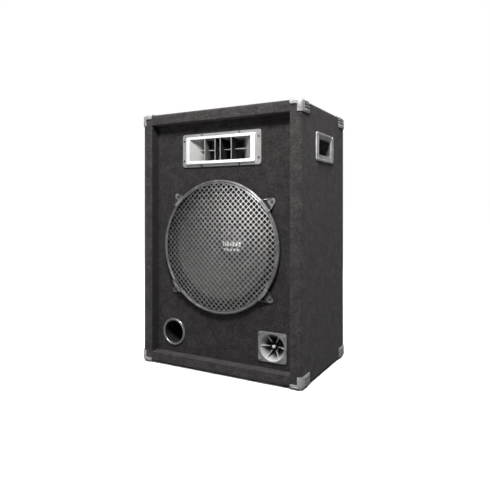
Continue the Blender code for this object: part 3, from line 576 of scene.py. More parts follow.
def rounded_loop(half_wide, half_high, radius, rise):
    """Points of a rectangle with round corners, counter-clockwise from its right side."""
    points = []
    steps = 6
    for side, up, start in ((1, 1, 0), (-1, 1, 90), (-1, -1, 180), (1, -1, 270)):
        for i in range(steps + 1):
            angle = radians(start + 90 * i / steps)
            points.append((side * (half_wide - radius) + radius * cos(angle),
                           rise + up * (half_high - radius) + radius * sin(angle)))
    return points


def raised(data, outline, axis, level, place=(0, 0, 0)):
    """Vertices of an outline of two coordinates, in X, Y, Z order, at a level of the third."""
    ring = []
    for point in outline:
        spot = list(point)
        spot.insert("XYZ".index(axis), level)
        ring.append(data.verts.new(Vector(spot) + Vector(place)))
    return ring


def lofted(sections, ring=False, place=(0, 0, 0), axis="Y"):
    """A skin through sections of (half width, half height, level, corner radius, any rise)."""
    data = bmesh.new()
    rings = [raised(data, rounded_loop(half_wide, half_high, radius, sum(rise)), axis, level, place)
             for half_wide, half_high, level, radius, *rise in sections]
    return skinned(data, rings, closed=ring, capped=not ring)


def grown(size, rows):
    """Sections for lofted from a half width and half height and what each row adds to them."""
    return [(size[0] + wide, size[1] + high, *rest) for wide, high, *rest in rows]


def opening(half_wide, half_high, radius, place, axis="Y"):
    """A cutter with round corners through a skin."""
    return lofted([(half_wide, half_high, level, radius) for level in (-CUT, CUT)], False, place, axis)


def block(low, high):
    """A box between two corners."""
    data = bmesh.new()
    bmesh.ops.create_cube(data, size=1)
    for vertex in data.verts:
        vertex.co = [a + (b - a) * (c + 0.5) for a, b, c in zip(low, high, vertex.co)]
    return data


def prism(outline, axis, start, end):
    """An outline of two coordinates extruded along the third axis."""
    data = bmesh.new()
    skinned(data, [raised(data, outline, axis, level) for level in (start, end)])
    bmesh.ops.recalc_face_normals(data, faces=data.faces)
    return data


def bead(one, two, radius, sides=16, steps=5):
    """A bar with round ends between two points."""
    start, end = Vector(one), Vector(two)
    way = (end - start).normalized()
    data = bmesh.new()
    rings = []
    across = way.cross(Vector((0.36, 0.48, 0.8))).normalized()
    other = way.cross(across)
    stations = [(start, -90 + 90 * i / steps) for i in range(steps + 1)]
    stations += [(end, 90 * i / steps) for i in range(steps + 1)]
    for base, lean in stations:
        size = max(radius * cos(radians(lean)), 1e-5)
        centre = base + way * radius * sin(radians(lean))
        ring = []
        for i in range(sides):
            turn = 2 * pi * i / sides
            ring.append(data.verts.new(centre + (across * cos(turn) + other * sin(turn)) * size))
        rings.append(ring)
    return skinned(data, rings)


def sheet(rows, columns, spot):
    """A grid of rows and columns whose points spot(row share, column share) gives."""
    data = bmesh.new()
    grid = [[data.verts.new(spot(i / (rows - 1), j / (columns - 1))) for j in range(columns)]
            for i in range(rows)]
    for i in range(rows - 1):
        for j in range(columns - 1):
            data.faces.new((grid[i][j], grid[i + 1][j], grid[i + 1][j + 1], grid[i][j + 1]))
    return data


def thickened(data, thickness, rounding=0.0):
    """A sheet given thickness, with its rim rounded."""
    base = loose(data)
    solid = base.modifiers.new("thickness", "SOLIDIFY")
    solid.thickness = thickness
    solid.offset = 0.0
    solid.use_even_offset = True
    if rounding:
        edge = base.modifiers.new("rounding", "BEVEL")
        edge.width = rounding
        edge.segments = 2
        edge.limit_method = "ANGLE"
        edge.angle_limit = radians(50)
    return settled(base)


# ---- fasteners

def screw_head(radius, height):
    """A pan head along -Y with a cross recess, its seat at Y 0."""
    recess = 0.58 * radius
    dome = [(0, 0), (radius, 0), (radius, -0.25 * height)]
    dome += [(radius * cos(radians(a)), -height * (0.25 + 0.75 * sin(radians(a)))) for a in (20, 40, 58, 74)]
    dome += [(0, -height)]
    head = turned(dome, sides=28)
    arm = 0.22 * recess
    cross = [block((-recess, -height * 2, -arm), (recess, -height * 0.42, arm)),
             block((-arm, -height * 2, -recess), (arm, -height * 0.42, recess))]
    return softened(combined(head, cross), 0.00012, 1, 50)


def aimed(way):
    """The turn from -Y to another direction."""
    return Vector((0, -1, 0)).rotation_difference(Vector(way)).to_matrix().to_4x4()


def four(centre, wide, depth, high):
    """Four points around a centre, mirrored left to right and top to bottom."""
    return [centre + Vector((a * wide, depth, b * high)) for a in (-1, 1) for b in (-1, 1)]


def screws(name, places, facing, radius, height, finish, nodes=()):
    """Identical screws at several places, each turned a little differently."""
    master = loose(screw_head(radius, height))
    heads = []
    for number, spot in enumerate(places):
        twist = Matrix.Rotation(radians(37 * number + 15), 4, "Y")
        heads.append(moved(copied(master), Matrix.Translation(spot) @ aimed(facing) @ twist))
    bpy.data.objects.remove(master)
    piece(name, gathered(heads), finish, nodes, angle=40)


# ---- cabinet

def carpet():
    """Felt over the whole box, rolled round every edge and down into the baffle's recess."""
    place = (MIDDLE.x, 0, MIDDLE.z)
    steps = 6
    tiny = 0.0006

    def section(inset, level, corner):
        return (HALF.x - inset, HALF.z - inset, level, max(corner, tiny))

    def recess(inset, level):
        return (HALF.x - LIP - inset, HALF.z - LIP_ENDS - inset, level, 0.002)

    quarter = [radians(90 * i / steps) for i in range(steps + 1)]
    front, back = OUT_LOW.y, OUT_HIGH.y
    outer = [section(EDGE - EDGE * sin(a), back - EDGE + EDGE * cos(a), EDGE * sin(a)) for a in quarter]
    outer += [section(EDGE - EDGE * sin(a), front + EDGE - EDGE * cos(a), EDGE * sin(a))
              for a in reversed(quarter)]
    outer += [recess(LIP_ROUND * (sin(a) - 1), front + LIP_ROUND * (1 - cos(a))) for a in quarter]
    outer += [recess(INNER_ROUND * (1 - cos(a)), FACE - INNER_ROUND * (1 - sin(a))) for a in quarter]
    inner = [
        section(EDGE, back - FELT, tiny), section(FELT, back - EDGE, EDGE - FELT),
        section(FELT, front + EDGE, EDGE - FELT), section(EDGE, front + FELT, tiny),
        recess(-FELT, front + FELT), recess(-FELT, FACE + FELT),
    ]
    cutters = [
        lofted(inner, place=place), drum(0.178, -CUT, CUT, WOOFER), drum(0.0395, -CUT, CUT, TWEETER, 64),
        drum(0.0368, -CUT, CUT, PORT, 64), opening(0.118, 0.0425, 0.004, HORN),
        opening(TERMINAL_WELL[0] + 0.004, TERMINAL_WELL[1] + 0.004, 0.006, TERMINAL),
    ]
    for side in (1, -1):
        spot = (side * HALF.x, HANDLE.y, HANDLE.z)
        cutters.append(opening(HANDLE_PLATE[0] - 0.005, HANDLE_PLATE[1] - 0.003, 0.006, spot, "X"))
    shell = combined(lofted(outer, place=place), cutters)
    # Painted shade: the baffle's faces take the darker felt, and the recess's side walls a darker one still.
    for face in shell.faces:
        spot = face.calc_center_median()
        if FACE - INNER_ROUND < spot.y < FACE + FELT + CLEAR:
            face.material_index = 1
        within = abs(spot.x - MIDDLE.x) < HALF.x - LIP + 0.0005
        if within and OUT_LOW.y + LIP_ROUND / 2 < spot.y < FACE and abs(face.normal.x) > 0.5:
            face.material_index = 2
    piece("carpet_felt", shell, "carpet carpet_baffle carpet_wall", ["carpet_cover"],
          weighted=True)


def rounded_box(low, high, radius):
    """A box with every edge rounded."""
    data = block(low, high)
    bmesh.ops.bevel(data, geom=data.edges[:], offset=radius, segments=6, profile=0.5, affect="EDGES")
    bmesh.ops.recalc_face_normals(data, faces=data.faces)
    return data


def corner_pressing():
    """One corner, for the right front top: beads on its legs, three fingers on its side plate."""
    diagonal = Vector((1, 1, 1))
    outer, inner = (rounded_box(OUT_LOW - diagonal * grow, OUT_HIGH + diagonal * grow, EDGE + grow)
                    for grow in (PROUD, CLEAR))
    right, top, front = OUT_HIGH.x, OUT_HIGH.z, OUT_LOW.y
    beyond = 0.01
    outline = [
        (right + beyond, top + beyond), (right - CORNER_WIDE, top + beyond),
        (right - CORNER_WIDE, top - CORNER_LEG), (right - CORNER_LEG, top - CORNER_LEG),
        (right - CORNER_LEG, top - CORNER_TALL), (right + beyond, top - CORNER_TALL),
    ]
    stock = prism(outline, "Y", front - beyond, front + CORNER_DEEP)
    upright = [e for e in stock.edges if abs(e.verts[0].co.y - e.verts[1].co.y) > 0.01]
    bmesh.ops.bevel(stock, geom=upright, offset=0.0025, segments=3, profile=0.5, affect="EDGES")
    pressing = combined(stock, [outer], "INTERSECT")
    slots = [block((right - EDGE / 2, front + CORNER_PLATE, top - place - SLOT / 2),
                   (right + beyond, front + CORNER_DEEP + SLOT, top - place + SLOT / 2))
             for place in SLOT_PLACES]
    pressing = softened(combined(pressing, [inner] + slots), 0.0007, 2, 55)
    lead = front - PROUD + BEAD_SUNK
    plane = right + PROUD - BEAD_SUNK
    foot = top - CORNER_TALL + 0.006
    beads = [
        bead((right - CORNER_WIDE + 0.006, lead, top - 0.0055), (right - 0.012, lead, top - 0.0055), 0.0012),
        bead((right - 0.006, lead, top - 0.012), (right - 0.006, lead, foot), 0.0012),
        bead((plane, front + 0.012, top - 0.009), (plane, front + 0.012, foot), 0.001),
    ]
    return combined(pressing, beads, "UNION")


def corners():
    """The eight corners, mirrored from one, each with its rivets."""
    master = loose(corner_pressing())
    right, top, front = OUT_HIGH.x, OUT_HIGH.z, OUT_LOW.y
    rivets = [
        ((right + PROUD, front + 0.025, top - 0.0275), (1, 0, 0)),
        ((right - CORNER_WIDE + 0.009, front + 0.03, top + PROUD), (0, 0, 1)),
    ]
    dome = [(0, 0.0004), (0.0034, 0.0004), (0.0032, -0.0006), (0.0022, -0.0015), (0.0009, -0.0019),
            (0, -0.0019)]
    for side, side_name in ((1, "right"), (-1, "left")):
        for face, face_name in ((-1, "front"), (1, "rear")):
            for up, up_name in ((1, "top"), (-1, "bottom")):
                name = f"corner_{face_name}_{up_name}_{side_name}"
                parts = [copied(master)]
                for spot, way in rivets:
                    if up < 0 and way[2]:
                        continue
                    parts.append(moved(turned(dome, sides=24), Matrix.Translation(spot) @ aimed(way)))
                whole = gathered(parts)
                for vertex in whole.verts:
                    away = vertex.co - MIDDLE
                    vertex.co = MIDDLE + Vector((side * away.x, -face * away.y, up * away.z))
                piece(f"{name}_pressing", whole, "plated_steel", [name], angle=38)
    bpy.data.objects.remove(master)


# ---- woofer

def grille_rim():
    """Pressed ring: rolled outer edge, two ridges, and a dark skirt down to the baffle."""
    ridges = []
    count = 28
    waves = 1.5
    high = 0.0008
    for i in range(count + 1):
        radius = RIDGES[0] - (RIDGES[0] - RIDGES[1]) * i / count
        ridges.append((radius, RIM_FRONT + high - high * cos(2 * pi * waves * i / count + pi)))
    line = [(0.1934, -0.0005), (0.1934, -0.0095)]
    line += arc(0.1944, -0.0118, 0.0016, 60, -60, 6)
    line += ridges
    line += arc(0.1853, -0.0138, 0.0008, 200, 120, 3)
    line += [(0.1918, -0.0124), (0.1918, -0.0005)]
    data = turned(line, WOOFER, 144)
    for face in data.faces:
        if face.calc_center_median().y > FACE - 0.01:
            face.material_index = 1
    piece("grille_rim_ring", data, "rim_enamel frame_paint", ["grille_rim"], angle=50)


def share(value, start, end):
    """How far a value has come from start to end, from 0 to 1."""
    return min(1.0, max(0.0, (value - start) / (end - start)))


def dome_depth(radius):
    """Depth of the mesh's middle surface."""
    out = min(radius / DOME_RADIUS, 1.0)
    return DOME_EDGE + (DOME_CROWN - DOME_EDGE) * (1 - out ** 2) + 0.0008


def wire(data, offset, number, family):
    """One crimped flat-topped wire over the dome, above and below the ones that it crosses."""
    reach = sqrt(WIRE_REACH ** 2 - offset ** 2)
    slope = 2 * (DOME_EDGE - DOME_CROWN) / DOME_RADIUS ** 2
    count = max(4, int(2 * reach / (WIRE_PITCH / 6)))
    half = sqrt(0.5)

    def centre(along):
        x, z = ((along - offset) * half, (along + offset) * half)
        if family:
            x, z = ((along + offset) * half, (offset - along) * half)
        side = -1 if family else 1
        crimp = side * WIRE_CRIMP * cos(pi * along / WIRE_PITCH + pi * number)
        fade = share(hypot(x, z), WIRE_HELD, WIRE_HELD - 0.004)
        return Vector((x, dome_depth(hypot(x, z)) - crimp * fade, z))

    rings = []
    for i in range(count + 1):
        along = -reach + 2 * reach * i / count
        spot = centre(along)
        way = (centre(along + 1e-4) - centre(along - 1e-4)).normalized()
        across = way.cross(Vector((slope * spot.x, -1, slope * spot.z))).normalized()
        out = across.cross(way)
        rings.append([data.verts.new(spot + across * WIRE_WIDE * a + out * WIRE_THICK * b + WOOFER)
                      for a, b in WIRE_SECTION])
    skinned(data, rings)


def grille_mesh():
    """Woven wire mesh, its wires at 45 degrees."""
    data = bmesh.new()
    count = int(DOME_RADIUS / WIRE_PITCH)
    for family in (0, 1):
        for number in range(-count, count + 1):
            wire(data, number * WIRE_PITCH, number, family)
    piece("grille_mesh_wires", data, "mesh_enamel", ["grille_mesh"], angle=60)


def clamp(number, angle):
    """A pressed clamp: strip over the rim, step down, and a tray-like ear between two flanges."""
    turn = radians(angle)
    start, edge, foot, nose = 0.1856, 0.1975, 0.2015, 0.0102
    bend = CLAMP_TIP - nose

    def spot(along, across):
        radius = start + (CLAMP_TIP - start) * along
        side = 2 * across - 1
        wide = CLAMP_HALF - (CLAMP_HALF - nose) * share(radius, edge, bend)
        if radius > bend:
            wide = nose * sqrt(max(0.01, 1 - ((radius - bend) / (nose + 0.0001)) ** 2))
        fall = share(radius, edge, foot)
        fall = fall * fall * (3 - 2 * fall)
        depth = CLAMP_FRONT + (CLAMP_FOOT - CLAMP_FRONT) * fall
        flange = max(0.0, abs(side) - 0.8) / 0.2
        lean = share(radius, CLAMP_TIP, edge)
        depth -= min(1.0, flange * 1.6) * (0.0012 + 0.0105 * lean ** 1.5) * fall
        offset = side * wide
        dish = max(0.0, 1 - hypot(radius - CLAMP_SCREW, offset) / 0.0056)
        depth += 0.0006 * min(1.0, dish * 2)
        bearing = turn + offset / radius
        return Vector((radius * cos(bearing), depth, radius * sin(bearing))) + WOOFER

    data = thickened(sheet(44, 31, spot), 0.0014, 0.0004)
    # Painted shade: the step down and the strip's inner edge take the black frame paint, standing in for the
    # shade in the crease.
    for face in data.faces:
        middle_point = face.calc_center_median() - WOOFER
        step_painted_shade = -0.015 < middle_point.y < -0.003 and face.normal.y > -0.75
        if step_painted_shade or hypot(middle_point.x, middle_point.z) < start + 0.0014:
            face.material_index = 1
    piece(f"grille_clamp_{number}_pressing", data, "clamp_enamel frame_paint",
          [f"grille_clamp_{number}"], angle=40)
    head = WOOFER + Vector((CLAMP_SCREW * cos(turn), -0.0024, CLAMP_SCREW * sin(turn)))
    screws(f"clamp_screw_{number}_head", [head], (0, -1, 0), 0.0043, 0.0026, "dark_screw",
           [f"clamp_screw_{number}"])


def backed(line, thickness):
    """A line of (radius, depth) points closed with the same line further in."""
    return line + [(radius, depth + thickness) for radius, depth in reversed(line)]


def cone_line(radius):
    """Depth of the cone's front at a radius, with its stiffening rings."""
    depth = CONE_TOP + (CONE_LIP - radius) / (CONE_LIP - CONE_NECK) * (CONE_DEEP - CONE_TOP)
    for ring in CONE_RINGS:
        away = abs(radius - ring) / 0.0022
        if away < 1:
            depth -= 0.0009 * (1 - away * away)
    return depth


def cone():
    """Paper cone with rings, its glued edge, and the dust cap with a plain printed emblem."""
    count = 150
    first = CONE_LIP - 0.0005
    front = [(CONE_EDGE, CONE_TOP), (CONE_LIP, CONE_TOP)]
    front += [(r, cone_line(r)) for r in (first - (first - CONE_NECK) * i / count for i in range(count + 1))]
    piece("cone_paper_form", turned(backed(front, 0.0014), WOOFER, 120), "cone_paper",
          ["cone"], CONE_BODY, 60)

    count = 14
    cap = [(CAP_RADIUS + 0.0022, CAP_RIM - 0.0022), (CAP_RADIUS + 0.0012, CAP_RIM - 0.0016)]
    cap += [(r, cap_depth(r)) for r in (CAP_RADIUS * (1 - i / count) for i in range(count + 1))]
    piece("dust_cap_form", turned(backed(cap, 0.0008), WOOFER), "cone_paper",
          ["dust_cap"], CONE_BODY, 60)

    bars = []
    wide, gap = 0.0062, 0.0033
    heights = (0.014, 0.011, 0.014, 0.009, 0.014, 0.011, 0.014)
    first = -(len(heights) - 1) / 2 * (wide + gap)
    for number, high in enumerate(heights):
        bars.append(printed(first + number * (wide + gap), 0.0035, wide, high))
    for number in range(5):
        bars.append(printed((number - 2) * 0.0118, -0.0135, 0.0078, 0.0072))
    piece("dust_cap_emblem", gathered(bars), "emblem_paint", body=CONE_BODY, angle=40)


def cap_depth(radius):
    """Depth of the dust cap's front."""
    return CAP_RIM - CAP_CROWN * (1 - (radius / CAP_RADIUS) ** 2)


def printed(x, z, wide, high):
    """A thin painted bar that follows the dust cap, centred at x and z."""
    def spot(across, up):
        a = x + (across - 0.5) * wide
        b = z + (up - 0.5) * high
        return Vector((a, cap_depth(hypot(a, b)) - 0.0003, b)) + WOOFER

    return thickened(sheet(max(3, int(wide / 0.002)), 6, spot), 0.0003)


def flexing(name, line, count, node):
    """A ring between frame and cone, in sectors."""
    per = 6
    for number in range(count):
        data = bmesh.new()
        rings = []
        for i in range(per + 1):
            turn = 2 * pi * (number + i / per) / count
            rings.append([data.verts.new(Vector((r * cos(turn), d, r * sin(turn))) + WOOFER)
                          for r, d in line])
        made = loose(skinned(data, rings, capped=False), f"{name}_{number + 1:02d}")
        painted(made, name, 60)
        turn = 2 * pi * (number + 0.5) / count
        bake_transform(made)
        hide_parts(node)


def suspension():
    """Two-roll cloth surround and the corrugated spider behind the cone."""
    inner, outer = 0.1575, 0.1705
    rolls = 2
    count = 28
    front = [(0.1552, 0)]
    for part in (i / count for i in range(count + 1)):
        front.append((inner + (outer - inner) * part, -0.0046 * abs(sin(pi * rolls * part)) ** 0.8))
    front += [(0.1742, 0)]
    flexing("surround_cloth", backed(front, 0.0007), 24, "surround")

    inner, outer = 0.041, 0.067
    waves = 3
    count = 48
    front = [(0.0388, 0.0865)]
    for part in (i / count for i in range(count + 1)):
        front.append((inner + (outer - inner) * part, 0.0865 + 0.0013 * sin(2 * pi * waves * part)))
    front += [(0.069, 0.0869), (0.0795, 0.0869)]
    flexing("spider_cloth", backed(front, 0.0005), 12, "spider")


# ---- horns and port

def mid_horn():
    """Moulded horn: round-cornered flange, polished bezel, flare, fins with round fronts, divider."""
    flare = [(*HORN_MOUTH, -HORN_PROUD + 0.0006, 0.0022), (0.1036, 0.0323, -0.0085, 0.0022)]
    flare += [(w, h, d, 0.003) for w, h, d in HORN_FLARE]
    outer = [(w + 0.004, h + 0.003, d, r + 0.001) for w, h, d, r in reversed(flare[3:])]
    rim = [(0.112, 0.038, -0.0003, 0.005)]
    rim += grown(HORN_FLANGE, [(0, 0, -0.0003, 0.008), (0, 0, -0.003, 0.008),
                               (-0.0004, -0.0004, -0.0038, 0.0076), (-0.0013, -0.0013, -0.0043, 0.007)])
    rim += grown(HORN_BEZEL, [
        (0.0022, 0.0018, -0.0043, 0.005), (0.0014, 0.0011, -0.003, 0.0045), (0, 0, -0.003, 0.004),
        (0, 0, -HORN_PROUD + 0.0012, 0.004), (-0.0004, -0.0004, -HORN_PROUD + 0.0004, 0.0036),
        (-0.0012, -0.0012, -HORN_PROUD, 0.003),
    ])
    rim += grown(HORN_MOUTH, [(0.0008, 0.0006, -HORN_PROUD, 0.0026)])
    horn = lofted(flare + outer + rim, True, HORN)
    parts = []
    for x in FIN_PLACES:
        nose = arc(-0.0085, 0, FIN / 2, 90, 270, 6)
        plan = [(x + b, a) for a, b in nose] + [(x - FIN / 2, 0.028), (x + FIN / 2, 0.028)]
        fin = prism(plan, "Z", -0.036, 0.036)
        trim = [(-0.012, 0.033), (-0.0085, 0.0328), (0.012, 0.0318), (0.029, 0.0307)]
        keep = prism(trim + [(d, -z) for d, z in reversed(trim)], "X", -0.2, 0.2)
        parts.append(moved(combined(fin, [keep], "INTERSECT"), Matrix.Translation(HORN)))
    shelf_edge = [(0.0822, 0.012), (0.059, 0.039)]
    shelf = prism(shelf_edge + [(-x, d) for x, d in reversed(shelf_edge)], "Z", -FIN / 2, FIN / 2)
    parts.append(moved(softened(shelf, 0.0008, 3), Matrix.Translation(HORN)))
    horn = combined(horn, parts, "UNION")
    for face in horn.faces:
        spot = face.calc_center_median() - HORN
        outside = abs(spot.x) > HORN_MOUTH[0] - 0.0003 or abs(spot.z) > HORN_MOUTH[1] - 0.0003
        inside = abs(spot.x) < HORN_BEZEL[0] + 0.0002 and abs(spot.z) < HORN_BEZEL[1] + 0.0002
        if spot.y < -0.0028 and outside and inside:
            face.material_index = 1
        # Painted shade: sideways faces near the horn's middle (the three inner fins and the deep throat
        # walls) get black, and the first fin's sides a darker grey.
        if abs(face.normal.x) > 0.9 and abs(spot.x) < 0.045 and spot.y > -0.0075:
            face.material_index = 2
        if abs(face.normal.x) > 0.9 and -0.056 < spot.x < -0.045 and spot.y > -0.0075:
            face.material_index = 3
        if spot.y < 0 and (abs(spot.x) > HORN_BEZEL[0] + 0.001 or abs(spot.z) > HORN_BEZEL[1] + 0.001):
            face.material_index = 4
    piece("mid_horn_moulding", horn, "horn_plastic horn_bezel horn_inner horn_fin horn_flange",
          ["mid_horn"], angle=36, weighted=True)
    places = four(HORN, 0.1278, -0.0042, 0.03) + four(HORN, 0.065, -0.0042, 0.0461)
    screws("mid_horn_screws", places, (0, -1, 0), 0.0033, 0.0021, "dark_screw")


def tweeter():
    """Round horn in a square flange, with tapered vanes and a ball plug on a stem."""
    wide, high = TWEETER_FLANGE
    plate = lofted(grown(TWEETER_FLANGE, [
        (0, 0, -0.0003, 0.006), (0, 0, -0.0024, 0.006), (-0.0004, -0.0004, -0.0033, 0.0056),
        (-0.0012, -0.0012, -0.0038, 0.0048),
    ]), place=TWEETER)
    shell = turned([
        (0, -0.002), (0.0392, -0.002), (0.039, 0.004), (0.03, 0.017), (0.017, 0.033),
        (0.015, 0.04), (0.025, 0.04), (0.025, 0.045), (0, 0.045),
    ], TWEETER, 72)
    lip = 0.0012
    bore = [(0, -0.01), (TWEETER_MOUTH + lip, -0.01), (TWEETER_MOUTH + lip, -0.0042)]
    bore += [(TWEETER_MOUTH + lip * (1 - sin(radians(a))), -0.0038 + lip * (1 - cos(radians(a))))
             for a in (20, 45, 70, 90)]
    bore += [(0.0368, 0.0005), (0.0352, 0.004), (0.0325, 0.0085), (0.0275, 0.015), (0.021, 0.0235),
             (0.0145, 0.031), (0.008, 0.037), (0.008, 0.055), (0, 0.055)]
    horn = combined(combined(plate, [shell], "UNION"), [turned(bore, TWEETER, 72)])
    parts = []
    for i in range(VANES):
        vane = softened(prism(VANE_OUTLINE, "Z", -VANE_HALF, VANE_HALF), 0.001, 3)
        for vertex in vane.verts:
            vertex.co.z *= 0.55 + 0.45 * min(1.0, vertex.co.x / 0.034)
        spin = Matrix.Rotation(-radians(VANE_TILT + 360 * i / VANES), 4, "Y")
        parts.append(moved(vane, Matrix.Translation(TWEETER) @ spin))
    plug = arc(0, BALL_DEEP, BALL, -90, 62, 14)
    plug[0] = (0, BALL_DEEP - BALL)
    plug += [(0.002, 0.016), (0.0022, 0.02), (0.0046, 0.026), (0.0046, 0.032), (0, 0.032)]
    parts.append(turned(plug, TWEETER, 40))
    horn = combined(horn, parts, "UNION")
    for face in horn.faces:
        spot = face.calc_center_median() - TWEETER
        flat = spot.y < -0.003 and abs(face.normal.y) > 0.98
        if flat or spot.y < 0 and hypot(spot.x, spot.z) > TWEETER_MOUTH + 0.0008:
            face.material_index = 1
        if 0.002 < spot.y < 0.0155 and hypot(spot.x, spot.z) < BALL + 0.0003:
            face.material_index = 2
    # The bowl's grey darkens towards the throat: painted shade.
    piece("tweeter_horn_moulding", horn, "tweeter_plastic tweeter_flange tweeter_ball",
          ["tweeter_horn"], angle=36, weighted=True)
    places = four(TWEETER, wide - 0.0066, -0.0037, high - 0.0066)
    screws("tweeter_screws", places, (0, -1, 0), 0.003, 0.0018, "dull_screw")


def reflex_port():
    """Flanged tube with a rolled mouth."""
    roll = (PORT_FLANGE - PORT_RADIUS) / 2
    line = [(PORT_RADIUS, PORT_LONG), (PORT_RADIUS, 0.003)]
    line += [(PORT_RADIUS + roll * (1 - cos(radians(a))), -0.0008 - 0.0034 * sin(radians(a)))
             for a in range(0, 181, 12)]
    line += [(PORT_FLANGE, -0.0003), (PORT_RADIUS + 0.0025, -0.0003), (PORT_RADIUS + 0.0025, PORT_LONG)]
    data = turned(line, PORT)
    for face in data.faces:
        spot = face.calc_center_median() - PORT
        if hypot(spot.x, spot.z) > PORT_RADIUS and spot.y < 0:
            face.material_index = 1
    piece("reflex_port_tube", data, "port_plastic port_flange", ["reflex_port"], angle=50)


# ---- handles

def handles():
    """Pressed handle trays: raised double rim, sloping tray, and a dark pocket that reaches upwards."""
    wide, high = HANDLE_PLATE
    sections = grown(HANDLE_OPENING, HANDLE_POCKET) + grown(HANDLE_PLATE, HANDLE_RIM)
    sections += grown(HANDLE_OPENING, HANDLE_BACK)
    for name, way in (("right", 1), ("left", -1)):
        placed = [(w, h, way * (HALF.x + out), *rest) for w, h, out, *rest in sections]
        data = lofted(placed, False, (MIDDLE.x, HANDLE.y, HANDLE.z), "X")
        for face in data.faces:
            spot = face.calc_center_median()
            level = abs(spot.x - MIDDLE.x) - HALF.x
            if abs(spot.y - HANDLE.y) < wide - 0.02 and abs(spot.z - HANDLE.z) < high - 0.0063:
                face.material_index = 1
            if level < -0.0018:
                face.material_index = 2
        piece(f"handle_{name}_tray", data, "handle_plate handle_tray handle_dark",
              [f"handle_{name}"], angle=40, weighted=True)
        places = [HANDLE + Vector((way * (HALF.x + 0.003), a * (wide - 0.015), b * (high - 0.0048)))
                  for a in (-1, 1) for b in (-1, 1)]
        screws(f"handle_{name}_screws", places, (way, 0, 0), 0.0027, 0.0014, "screw_steel")


# ---- rear terminals

def terminals():
    """Dished rear plate with screws, two jack sockets with hex nuts, and the clip block with pockets for its
    levers.
    """
    wall = 0.0025
    well = grown(TERMINAL_WELL, [
        (-0.0045, -0.0045, -WELL_DEEP, 0.003), (-0.003, -0.003, -WELL_DEEP + 0.0012, 0.004),
        (0, 0, 0.0008, 0.005), (0.0008, 0.0008, 0.002, 0.0055), (0.002, 0.002, 0.0024, 0.006),
    ])
    flange = grown(TERMINAL_PLATE, [
        (-0.0012, -0.0012, 0.0024, 0.006), (-0.0003, -0.0003, 0.002, 0.006), (0, 0, 0.0012, 0.006),
        (0, 0, 0.0003, 0.006),
    ])
    back = grown(TERMINAL_WELL, [
        (wall + 0.001, wall + 0.001, 0.0003, 0.006), (wall, wall, -0.0007, 0.006),
        (wall - 0.003, wall - 0.003, -WELL_DEEP - wall, 0.005),
    ])
    plate = lofted(well + flange + back, place=TERMINAL)
    jacks = [middle("jack_socket_1"), middle("jack_socket_2")]
    plate = combined(plate, [drum(0.0073, -0.04, 0, (jack.x, TERMINAL.y, jack.z), 40) for jack in jacks])
    piece("terminal_plate_moulding", plate, "black_plastic", ["terminal_plate"],
          weighted=True)
    places = four(TERMINAL, 0.0685, 0.0023, 0.0485)
    screws("terminal_screws", places, (0, 1, 0), 0.0036, 0.0022, "dark_screw")

    seat = -WELL_DEEP + CLEAR
    for number, jack in enumerate(jacks, 1):
        place = (jack.x, TERMINAL.y, jack.z)
        line = [(0.0033, 0.0046), (0.004, 0.0052), (0.0058, 0.0052), (0.0062, 0.0046), (0.0062, 0.003),
                (0.007, 0.003), (0.007, -0.024), (0, -0.024), (0, -0.022), (0.0033, -0.022)]
        barrel = turned([(radius, seat + depth) for radius, depth in line], place, 48)
        turns = [radians(60 * i + 12) for i in range(6)]
        hexagon = [(0.0095 * cos(turn), 0.0095 * sin(turn)) for turn in turns]
        nut = moved(softened(prism(hexagon, "Y", seat, seat + 0.0032), 0.0005, 2), Matrix.Translation(place))
        nut = combined(nut, [drum(0.006, -0.05, 0.01, place, 48)])
        piece(f"jack_socket_{number}_barrel", barrel, "black_plastic",
              [f"jack_socket_{number}"])
        piece(f"jack_socket_{number}_nut", nut, "machined_steel")

    low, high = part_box("clip_block")
    clip = softened(block(low, high), 0.0012, 3)
    for color in ("red", "black"):
        x = middle(f"lever_{color}").x
        centre = TERMINAL.z
        pocket = block((x - 0.01, TERMINAL.y - 0.0178, centre - 0.0012),
                       (x + 0.01, TERMINAL.y + 0.01, centre + 0.0165))
        hole = turned([(0, -0.0165), (0.0031, -0.0165), (0.0031, -0.0062), (0.0042, -0.0049), (0.0042, 0.01),
                       (0, 0.01)], (x, TERMINAL.y, centre - 0.0105), 32)
        clip = combined(clip, [pocket, hole])
    piece("clip_block_moulding", clip, "black_plastic", ["clip_block"], weighted=True)


def levers():
    """Spring levers, each with a ribbed thumb pad, on the body that its joint turns."""
    for joint in frame["joints"]:
        if not joint["name"].endswith("lever_press"):
            continue
        color = joint["name"].split("_")[0]
        low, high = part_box(f"lever_{color}")
        base = TERMINAL.y
        line = [(-0.015, 0.0015), (-0.004, 0.0005), (-0.0015, 0.013), (-0.0055, 0.0135), (-0.0145, 0.0045)]
        outline = [(base + out, TERMINAL.z + up) for out, up in line]
        lever = softened(prism(outline, "X", low.x, high.x), 0.0006, 3)
        foot, tip = Vector(line[1]), Vector(line[2])
        ribs = []
        for i in range(4):
            out, up = foot.lerp(tip, 0.3 + 0.17 * i)
            ribs.append(bead((low.x + 0.0022, base + out, TERMINAL.z + up),
                             (high.x - 0.0022, base + out, TERMINAL.z + up), 0.0006, 10, 3))
        lever = combined(lever, ribs, "UNION")
        finish = f"{color}_plastic"
        piece(f"lever_{color}_pad", lever, finish, [f"lever_{color}"], joint["child"])


# ---- CAD nodes that stay

